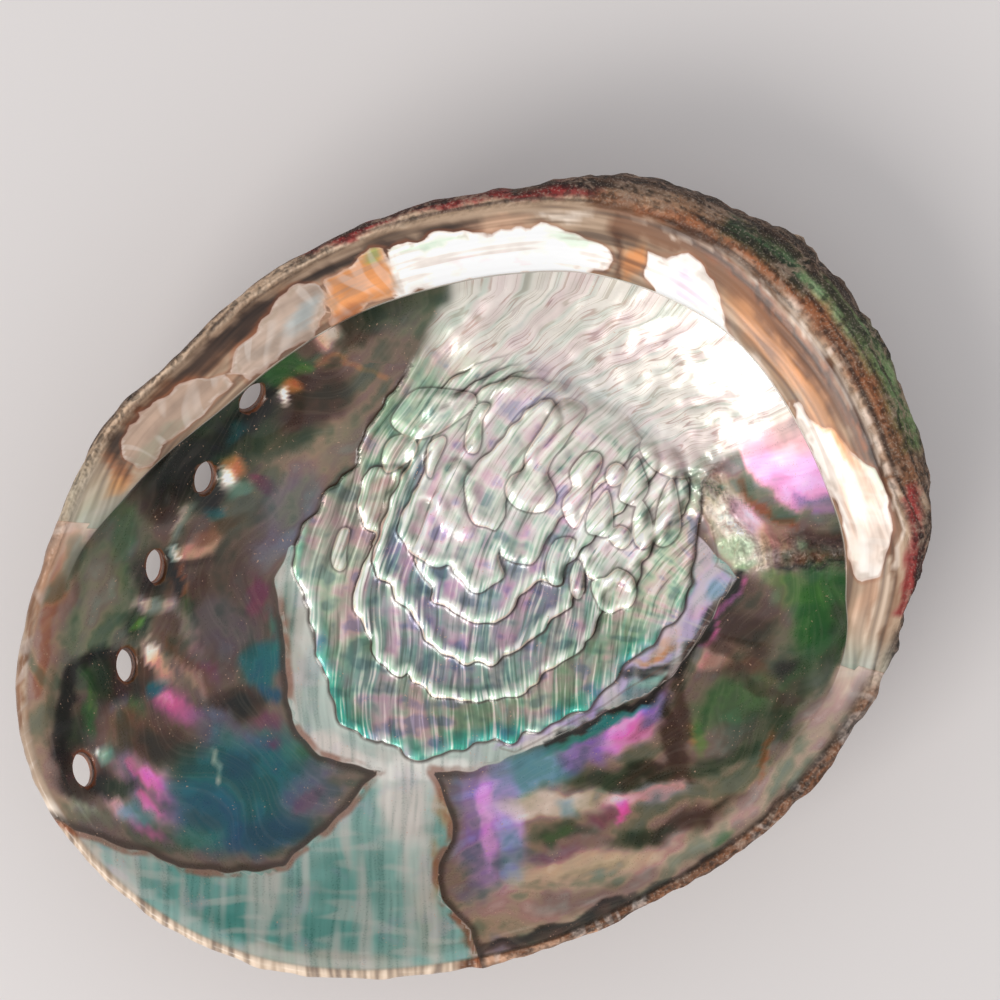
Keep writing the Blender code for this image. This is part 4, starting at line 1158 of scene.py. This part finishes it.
points = np.empty(len(shell.data.vertices) * 3, np.float32)
shell.data.vertices.foreach_get("co", points)
points = points.reshape(-1, 3).astype(float) / MM
x, y, z = points.T
plain_x, plain_y = x - CENTRE_SHIFT[0], y - CENTRE_SHIFT[1]
radius = np.hypot(plain_x, plain_y)
theta = np.arctan2(plain_y, plain_x)

# Each point's row, 0 in the middle of the bowl. Points that the holes added take theirs from their height
rows = np.zeros(len(points), np.float32)
shell.data.attributes["row"].data.foreach_get("value", rows)
rows -= 1
added = rows < 0
for hole_x, hole_y, _ in HOLES:
    near = added & (np.hypot(plain_x - hole_x, plain_y - hole_y) < HOLE_REACH)
    upper = z > z[near].mean()
    rows[near & upper] = 0.7 * BOWL_ROWS
    rows[near & ~upper] = BACK_START + 0.4 * BACK_ROWS

edge_radius, _, undercut = closed_curve(SHELF_EDGE)(theta)
crest_radius = closed_curve(CREST)(theta)[0]
shelf = smooth(-1.0, 2.0, undercut)
from_edge = np.minimum(1.0, (edge_radius - 0.6) / np.maximum(radius, 1.0))
pull = np.where((rows < SHELF_START - 1) & (shelf > 0.5), from_edge, 1.0)
px, py = in_picture(plain_x * pull + CENTRE_SHIFT[0], plain_y * pull + CENTRE_SHIFT[1], z)

# How far each point lies from the apex, 0, towards the widest line, 1
far_x = grid[BACK_START, :, 0] - CENTRE_SHIFT[0] - APEX[0]
far_y = grid[BACK_START, :, 1] - CENTRE_SHIFT[1] - APEX[1]
far_turns, far_reaches = zip(*sorted(zip(np.arctan2(far_y, far_x), np.hypot(far_x, far_y))))
apex_turn = np.arctan2(plain_y - APEX[1], plain_x - APEX[0])
to_wide = np.interp(apex_turn, far_turns, far_reaches, period=TURN)
reach = np.clip(np.hypot(plain_x - APEX[0], plain_y - APEX[1]) / to_wide, 0, 1)

back = smooth(BACK_START - 2, BACK_START + 4, rows)
front = rows < BACK_START + 6
lip = 1 - shelf * (rows >= SHELF_START - 1)
rim = smooth(SHELF_START + 0.62 * SHELF_ROWS, SHELF_START + 0.9 * SHELF_ROWS, rows) * lip
with_lip, with_shelf = front & (lip > 0), front & (lip < 1)
ground, inlay, sheets = np.zeros((3, len(points), 3))
for layer, on_lip, on_shelf in (
    (ground, lip_colours, shelf_colours),
    (inlay, basin_colours, patch_colours),
    (sheets, scar_colours, None),
):
    layer[with_lip] += lip[with_lip, None] * on_lip(px[with_lip], py[with_lip])
    if on_shelf:
        layer[with_shelf] += (1 - lip[with_shelf, None]) * on_shelf(px[with_shelf], py[with_shelf])
edge_coat = Coat(px, py, "sand")
edge_coat.strokes(EDGE_STROKES)
under_coat = back_colours(x, y, reach)
for layer in (ground, inlay):
    layer += rim[:, None] * (edge_coat.colour - layer)
    layer += back[:, None] * (under_coat - layer)
    layer[added] += 0.8 * (np.array(SHADES["rust"], float) - layer[added])
in_bowl = lip > 0.5

# Depths inside the outlines with a drawn edge, cut off at FAR either way
FAR = 14.0
wide_x, wide_y = scalloped(px, py)


def edge_depth(outlines, at_x, at_y, where):
    """Depth inside the nearest of some outlines that don't overlap."""
    depth = np.full(len(at_x), -FAR)
    for outline in outlines:
        depth = np.maximum(depth, np.clip(inside_of(outline, at_x, at_y, FAR), -FAR, FAR))
    return np.where(where & front, depth, -FAR)


patches = tuple(area[3] for area in PATCH_AREAS)
inlay_depth = np.where(
    in_bowl,
    edge_depth((LEFT_NACRE, RIGHT_NACRE), px + ripple(px, py, 22, 5), py + ripple(px, py, 20, 6), in_bowl),
    edge_depth(patches, edge_coat.px, edge_coat.py, ~in_bowl),
)
edges_a = np.column_stack([
    edge_depth((SCAR,), wide_x, wide_y, in_bowl),
    edge_depth((SHEET_1, LEFT_SHEET), wide_x, wide_y, in_bowl),
    edge_depth((SHEET_2, RIGHT_SHEET), wide_x, wide_y, in_bowl),
])
edges_b = np.column_stack([
    edge_depth((SHEET_3, MIDDLE_SHEET), wide_x, wide_y, in_bowl),
    edge_depth((SHEET_4, LOW_RIGHT_SHEET), wide_x, wide_y, in_bowl),
    edge_depth((SHEET_5,), wide_x, wide_y, in_bowl),
])
edges_c = np.column_stack([
    edge_depth(tuple(outline for outline, _ in DROPS), px, py, in_bowl),
    inlay_depth,
    edge_depth((PALE_STRIP, STRIP), px, py, in_bowl),
])

# How polished, pearly and gritty each point is, and where drawn edges, stains and the bright wall show
in_scar = smooth(-2.0, 3.0, edges_a[:, 0])
round_degrees = np.degrees(theta)
crust = np.maximum(rim * smooth(-122.0, -105.0, round_degrees) * smooth(0.0, -30.0, round_degrees), back)
crust = np.maximum(crust, (1 - lip) * smooth(SHELF_START + 0.85 * SHELF_ROWS, CREST_START + 2, rows))
ridge_near = from_line(RIDGE, px, py)
crust = np.maximum(crust, 0.5 * in_bowl * smooth(26.0, 6.0, ridge_near) * (edges_a[:, 0] < 0))
dark = in_bowl & (inlay_depth > 0) & (edges_a[:, 0] < 0)
dulled = 1 - 0.7 * dark * smooth(190, 110, inlay.mean(axis=1))
pearly = (0.6 + 0.4 * lip) * (1 - crust) * (1 - rim) * dulled
pearly *= np.where(in_bowl, 1.0, 0.25 + 0.75 * smooth(-3.0, 3.0, inlay_depth))
rough = 0.30 + 0.06 * in_scar + 0.12 * (1 - lip) + 0.40 * crust
unstained = 0.8 * smooth(430, 480, px) * smooth(790, 760, py)
stained = np.where(in_bowl, smooth(540, 640, py) * (1 - unstained), 0.0)
finish = np.column_stack([rough, pearly, crust])
strengths = np.column_stack([1 - melted(px, py), stained, lip * (1 - back) * (1 - rim)])

# How the relief of the scar catches light from the lower left, and how dark its hollows are
STEP = 3.5
scar_zone = front & in_bowl & (edges_a[:, 0] > -8)
zone_x, zone_y = px[scar_zone], py[scar_zone]
right_up, left_down, left_up, right_down, here = (
    scar_relief(zone_x + a * STEP, zone_y + b * STEP)
    for a, b in ((1, -1), (-1, 1), (-1, -1), (1, 1), (0, 0))
)
facing = right_up - left_down
hollow = (right_up + left_down + left_up + right_down) / 4 - here
light = np.ones(len(points))
drawn = np.clip(0.62 * facing, -0.6, 0.5) - np.clip(1.5 * hollow, -0.2, 0.6)
light[scar_zone] += drawn * (1 - 0.6 * melted(zone_x, zone_y)) + 0.10 * (1 - melted(zone_x, zone_y))
light = np.column_stack([np.clip(light, 0.25, 1.6), np.zeros_like(light), np.zeros_like(light)])

# Coordinates along which the streaks run: down the scar and the lip, and round the shell elsewhere
GROWTH_LINES = 42.0
across, along = flow(px, py)
across = across + 2.5 * ripple(px, py, 90, 3) + (0.4 + 1.2 * melted(px, py)) * ripple(px, py, 26, 5)
fan = np.column_stack([across * 0.1, along * 0.012, 0.04 * ripple(px, py, 60, 9)])
turned = theta + 0.10 * ripple(px, py, 120, 2)
wander = 1.6 * ripple(px, py, 110, 7) + 0.2 * ripple(px, py, 40, 4)
rings = radius / crest_radius * GROWTH_LINES + (0.1 + lip) * wander
ring = np.column_stack([rings, 3 * np.cos(turned), 3 * np.sin(turned)])
in_basin = (inlay_depth > 0) & (edges_a[:, 0] < 0) & (melted(px, py) < 0.5)
round_way = in_basin | ~in_bowl | (rows > BACK_START)
flow_way = np.where(round_way[:, None], ring, fan)
growth_lines = GROWTH_LINES * reach + 0.4 * ripple(x, y, 60, 7)
growth = np.column_stack([growth_lines, 3 * np.cos(apex_turn), 3 * np.sin(apex_turn)])
flow_way += smooth(BACK_START, BACK_START + 14, rows)[:, None] * (growth - flow_way)

for name, values in (
    ("finish", finish), ("edges_a", edges_a), ("edges_b", edges_b), ("edges_c", edges_c),
    ("strengths", strengths), ("flow", flow_way), ("light", light),
):
    layer = shell.data.attributes.new(name, "FLOAT_VECTOR", "POINT")
    layer.data.foreach_set("vector", values.astype(np.float32).ravel())
for name, colours in (("ground", ground), ("inlay", inlay), ("sheets", sheets)):
    linear = to_linear(np.clip(colours, 0, 255) / 255)
    opaque = np.column_stack([linear, np.ones(len(linear))])
    layer = shell.data.attributes.new(name, "FLOAT_COLOR", "POINT")
    layer.data.foreach_set("color", opaque.astype(np.float32).ravel())

# The nacre and the crust
# One material for the whole shell, because nacre passes into crust without a seam. Three painted layers
# meet along drawn edges. Streaks, hues of thin pearl, specks and grains are added to them by noise.
nacre = bpy.data.materials.new("nacre")
nacre.use_nodes = True
tree = nacre.node_tree
surface = tree.nodes["Principled BSDF"]


def feed(slot, value):
    """Links a value to a socket, or sets the socket to a plain number or colour."""
    if isinstance(value, Value):
        tree.links.new(value.socket, slot)
    else:
        slot.default_value = value


def node_of(kind, settings=None, **inputs):
    """A shader node with its settings and inputs."""
    node = tree.nodes.new("ShaderNode" + kind)
    for name, value in (settings or {}).items():
        setattr(node, name, value)
    for name, value in inputs.items():
        feed(node.inputs[name.replace("_", " ")], value)
    return node


class Value:
    """A socket of the node tree that can be added, multiplied and read like a plain number."""

    def __init__(self, socket):
        self.socket = socket

    def maths(self, operation, *given):
        node = node_of("Math", {"operation": operation})
        for slot, value in zip(node.inputs, given):
            feed(slot, value)
        return Value(node.outputs[0])

    def __add__(self, other):
        return self.maths("ADD", self, other)

    def __mul__(self, other):
        return self.maths("MULTIPLY", self, other)

    def __sub__(self, other):
        return self.maths("SUBTRACT", self, other)

    def __rsub__(self, other):
        return self.maths("SUBTRACT", other, self)

    __radd__ = __add__
    __rmul__ = __mul__

    def above(self, low, high):
        """Climbs from 0 at low to 1 at high."""
        node = node_of(
            "MapRange", {"interpolation_type": "SMOOTHSTEP"}, Value=self, From_Min=low, From_Max=high,
        )
        return Value(node.outputs["Result"])

    def between(self, low, full, last, high):
        """Climbs from 0 at low to 1 at full and falls from last to 0 at high."""
        return self.above(low, full) * (1.0 - self.above(last, high))


def numbers(name):
    """The three numbers kept on the shell's points under this name."""
    node = node_of("Attribute", {"attribute_name": name})
    parts = node_of("SeparateXYZ", Vector=Value(node.outputs["Vector"]))
    return [Value(part) for part in parts.outputs]


def colour_of(name):
    return Value(node_of("Attribute", {"attribute_name": name}).outputs["Color"])


flow_way = Value(node_of("Attribute", {"attribute_name": "flow"}).outputs["Vector"])
places = Value(node_of("TexCoord").outputs["Object"])
in_mm = Value(node_of("VectorMath", {"operation": "SCALE"}, Vector=places, Scale=1000.0).outputs["Vector"])


def place_of(name, scale):
    """The flow's coordinates or the place in millimetres, stretched by scale along each axis."""
    way = flow_way if name == "flow" else in_mm
    node = node_of("VectorMath", {"operation": "MULTIPLY"}, Vector=way)
    node.inputs[1].default_value = scale
    return Value(node.outputs["Vector"])


def noise(place, detail):
    node = node_of("TexNoise", Vector=place, Scale=1.0, Detail=detail, Roughness=0.6)
    return Value(node.outputs["Fac"])


def scaled(colour, factor):
    """A colour made brighter or darker."""
    node = node_of("VectorMath", {"operation": "SCALE"}, Vector=colour, Scale=factor)
    return Value(node.outputs["Vector"])


def blend(kind, share, below, above):
    """Two colours blended. Plain tuples are shades of 0 to 1 as the picture shows them."""
    node = node_of("Mix", {"data_type": "RGBA", "blend_type": kind})
    for slot, value in zip((node.inputs[0], node.inputs[6], node.inputs[7]), (share, below, above)):
        feed(slot, shade_of(value) if isinstance(value, str) else value)
    return Value(node.outputs[2])


def shade_of(name):
    """One of the shades as a linear colour."""
    return (*to_linear(np.array(SHADES[name], float) / 255), 1.0)


def hues(value, stops):
    """A colour ramp through named shades."""
    node = node_of("ValToRGB", Fac=value)
    ramp = node.color_ramp
    while len(ramp.elements) < len(stops):
        ramp.elements.new(0.5)
    for element, (position, name) in zip(ramp.elements, stops):
        element.position = position
        element.color = shade_of(name)
    return Value(node.outputs["Color"])


ground, inlay, sheets = colour_of("ground"), colour_of("inlay"), colour_of("sheets")
rough, pearl, crust = numbers("finish")
scar_edge, first_edge, second_edge = numbers("edges_a")
third_edge, fourth_edge, fifth_edge = numbers("edges_b")
drop_edge, inlay_edge, strip_edge = numbers("edges_c")
clear, stained, inside = numbers("strengths")
relief_light = numbers("light")[0]

# Streaks along the flow, terraces across it, mottling and grain
wide_streak = noise(place_of("flow", (0.45, 0.6, 0.6)), 0.8)
streak = noise(place_of("flow", (1.3, 1.0, 1.0)), 1.0)
fine_streak = noise(place_of("flow", (3.6, 2.0, 2.0)), 0.0)
terrace = noise(place_of("flow", (0.25, 8.0, 8.0)), 0.0)
mottle = noise(place_of("place", (0.16, 0.16, 0.16)), 2.5)
fine_mottle = noise(place_of("place", (0.75, 0.75, 0.75)), 1.0)
grain = noise(place_of("place", (2.6, 2.6, 2.6)), 0.0)
pearl_hue = 0.5 * mottle + 0.5 * wide_streak

# The clean nacre: pale streaks and faint bands across them
lip = scaled(ground, 0.55 + 0.9 * streak)
lip = blend("MIX", 0.50 * wide_streak.above(0.48, 0.66) * inside, lip, "pearl")
lip = blend("MIX", 0.30 * terrace.above(0.50, 0.75) * inside, lip, "pearl")
lip = blend("MIX", 0.18 * (1.0 - streak.above(0.30, 0.50)) * inside, lip, "teal")
lip = blend("MIX", 0.14 * mottle.above(0.52, 0.68) * inside, lip, "lilac")

# The dark nacre of the basins and the patches of the shelf
body = scaled(inlay, 0.72 + 1.2 * wide_streak + 0.12 * (fine_streak - 0.5) + 1.4 * (mottle - 0.5))
body = blend("OVERLAY", 0.50 * inside, body, hues(pearl_hue, (
    (0.36, "teal"), (0.43, "leaf"), (0.50, "sand"), (0.56, "plum"), (0.64, "slate"),
)))
body = blend("MIX", 0.03 * fine_streak.above(0.52, 0.72) * inside, body, "cream")
body = blend("MIX", 0.35 * (1.0 - streak.above(0.36, 0.50)) * (1.0 - inside), body, "stone")
body = blend("MIX", 0.20 * terrace.above(0.54, 0.70) * (1.0 - inside), body, "white")
worn = 0.5 * mottle.above(0.52, 0.62) * (1.0 - inside) * inlay_edge.between(0.0, 2.0, 5.0, 12.0)
body = blend("MIX", worn, body, "sand")

in_inlay = inlay_edge.above(-0.8, 0.8)
paint = blend("MIX", in_inlay, lip, body)
paint = blend("MIX", 0.80 * stained * inlay_edge.between(-0.5, 1.0, 3.0, 10.0), paint, "umber")
brim = stained * inlay_edge.between(-8.0, -3.0, -0.6, 1.0)
paint = blend("MIX", 0.75 * brim * mottle.above(0.38, 0.56), paint, "rust")
paint = blend("MIX", 0.35 * (1.0 - inside) * inlay_edge.between(-5.0, -1.0, 0.5, 2.5), paint, "rust")
paint = blend("MIX", 0.35 * inside * strip_edge.between(-2.0, -0.6, 0.2, 1.4), paint, "brown")

# The scar's sheets: streaked, pale mint along each edge with painted highlights in it, a painted shadow
# line just outside each edge where one stands over the next, and a thin peach line on the edge that is
# partly the nacre's tint and partly a painted highlight
sheet = scaled(sheets, 0.92 - 0.30 * clear + (0.5 + 0.6 * clear) * streak)
sheet = blend("MIX", 0.30 * wide_streak.above(0.48, 0.60), sheet, "pink")
sheet = blend("MIX", 0.30 * wide_streak.between(0.40, 0.48, 0.48, 0.56), sheet, "aqua")
sheet = blend("MIX", 0.40 * fine_streak.above(0.50, 0.70) * streak.above(0.40, 0.55), sheet, "white")
sheet = blend("MIX", 0.45 * clear * (1.0 - fine_streak.above(0.28, 0.42)), sheet, "moss")
veins = 0.45 * (1.0 - clear) * streak.between(0.40, 0.43, 0.44, 0.47) * mottle.above(0.40, 0.54)
sheet = blend("MIX", veins, sheet, "rust")
sheet = blend("MIX", 0.40 * (1.0 - clear) * fine_streak.between(0.36, 0.40, 0.42, 0.46), sheet, "sand")
sheet = blend("OVERLAY", 0.15 + 0.40 * clear, sheet, hues(0.22 * terrace + 0.78 * mottle, (
    (0.38, "teal"), (0.45, "mint"), (0.51, "pearl"), (0.57, "pink"), (0.63, "violet"),
)))
plain_sheet = sheet
for edge, strength in (
    (first_edge, 1.0), (second_edge, 1.0), (third_edge, 1.0),
    (fourth_edge, 0.8), (fifth_edge, 0.8), (drop_edge, 0.7),
):
    shown = strength * clear
    # Painted shadow: a dark umber line just outside each edge, where the sheet stands over the one below
    sheet = blend("MIX", 0.85 * shown * edge.between(-3.4, -0.9, -0.5, 0.5), sheet, "umber")
    sheet = blend("MIX", edge.above(-0.5, 0.5), sheet, plain_sheet)
    # Pale mint band inside each edge, with white painted highlights in it
    mint_and_highlight_band = shown * edge.between(-0.5, 1.0, 5.0, 13.5)
    sheet = blend("MIX", 0.65 * mint_and_highlight_band * streak.above(0.34, 0.50), sheet, "mint")
    sheet = blend("MIX", 0.55 * mint_and_highlight_band * fine_streak.above(0.44, 0.62), sheet, "white")
    # A thin peach line on the edge: the nacre's own tint, with a painted highlight where the edge catches
    # the light
    peach_edge_and_highlight = 0.50 * shown * edge.between(-0.3, 0.4, 1.0, 2.2) * mottle.above(0.42, 0.56)
    sheet = blend("MIX", peach_edge_and_highlight, sheet, "peach")
# Painted shadow: a dark umber line just outside the scar's outline
paint = blend("MIX", 0.9 * inside * clear * scar_edge.between(-5.0, -0.8, -0.6, 0.5), paint, "umber")
softness = 1.0 + 10.0 * (1.0 - clear)
in_scar = scar_edge.above(-0.7 * softness, 0.7 * softness) * inside
sheet = scaled(sheet, relief_light)
paint = blend("MIX", in_scar, paint, sheet)

# Grime in the crust, dust in the nacre, and layers of growth between the shelf and the crest
dust = grain.above(0.76, 0.82) * mottle.above(0.46, 0.60)
paint = blend("MIX", 0.7 * dust * inside, paint, "peach")
grown = hues(streak, ((0.34, "brown"), (0.48, "cream"), (0.60, "white")))
layers = blend("MULTIPLY", 0.6, scaled(paint, 1.3), grown)
paint = blend("MIX", (1.0 - inside) * (1.0 - in_inlay), paint, layers)
crusted = scaled(paint, 0.1 + 1.1 * fine_mottle + 0.9 * streak)
crusted = blend("MIX", 0.55 * (1.0 - streak.above(0.36, 0.50)), crusted, "umber")
crusted = blend("MIX", 0.60 * mottle.above(0.50, 0.62) * fine_mottle.above(0.40, 0.60), crusted, "stone")
crusted = blend("MIX", 0.22 * grain.above(0.56, 0.72), crusted, "cream")
crusted = blend("MIX", 0.50 * (1.0 - fine_mottle.above(0.34, 0.46)), crusted, "soot")
paint = blend("MIX", crust, paint, crusted)
BRIGHTEST = (0.96, 0.96, 0.96)
most = node_of("VectorMath", {"operation": "MINIMUM"}, Vector=paint)
most.inputs[1].default_value = BRIGHTEST
paint = Value(most.outputs["Vector"])

feed(surface.inputs["Base Color"], paint)
feed(surface.inputs["Roughness"], rough + 0.10 * (grain - 0.5) + 0.12 * (streak - 0.5))
feed(surface.inputs["Metallic"], 0.15 * pearl)
feed(surface.inputs["Coat Weight"], 0.6 * pearl)
surface.inputs["Coat Roughness"].default_value = 0.10
surface.inputs["Coat IOR"].default_value = 1.6
surface.inputs["Specular IOR Level"].default_value = 0.35

height = (0.04 + 0.14 * clear) * (streak + 0.6 * fine_streak) * in_scar
height = height + 0.008 * fine_streak + 0.14 * (1.0 - inside) * streak
height = height + crust * (1.5 * fine_mottle + 0.35 * streak)
relief = node_of("Bump", Height=height, Strength=1.0, Distance=0.001)
feed(surface.inputs["Normal"], Value(relief.outputs["Normal"]))
shell.data.materials.append(nacre)

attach(shell, "root")
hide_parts("abalone_shell")

# The floor
# A plain pale sheet under the shell, wide enough to fill the picture.
FLOOR_SIZE = 12.0
FLOOR_SHADE = (0.745, 0.71, 0.70, 1.0)
bpy.ops.mesh.primitive_plane_add(size=FLOOR_SIZE)
floor = bpy.context.object
floor.name = floor.data.name = "floor"
sheet_material = bpy.data.materials.new("sheet")
sheet_material.use_nodes = True
sheet_surface = sheet_material.node_tree.nodes["Principled BSDF"]
sheet_surface.inputs["Base Color"].default_value = FLOOR_SHADE
sheet_surface.inputs["Roughness"].default_value = 0.9
sheet_surface.inputs["Specular IOR Level"].default_value = 0.0
floor.data.materials.append(sheet_material)

# The light
# A large soft lamp at the lower left of the picture and even light from all round. A second lamp in the
# same place shows only as the gloss on the nacre.
LAMP_PLACE = Vector((-0.80, -0.25, 0.95))
LAMP_AIM = Vector((0.0, 0.0, 0.02))
SKY_SHADE = (0.97, 0.98, 1.0, 1.0)
SKY_STRENGTH = 0.72
for name, size, power, colour, only_gloss in (
    ("key", 0.6, 7.0, (1.0, 0.97, 0.93), False), ("gloss", 0.40, 6.5, (1.0, 0.96, 0.92), True),
):
    lamp_data = bpy.data.lights.new(name, "AREA")
    lamp_data.size = size
    lamp_data.energy = power
    lamp_data.color = colour
    lamp = bpy.data.objects.new(name, lamp_data)
    lamp.location = LAMP_PLACE
    lamp.rotation_euler = (LAMP_AIM - LAMP_PLACE).to_track_quat("-Z", "Y").to_euler()
    lamp.visible_diffuse = not only_gloss
    bpy.context.scene.collection.objects.link(lamp)

world = bpy.data.worlds.new("world")
world.use_nodes = True
world.node_tree.nodes["Background"].inputs["Color"].default_value = SKY_SHADE
world.node_tree.nodes["Background"].inputs["Strength"].default_value = SKY_STRENGTH
bpy.context.scene.world = world
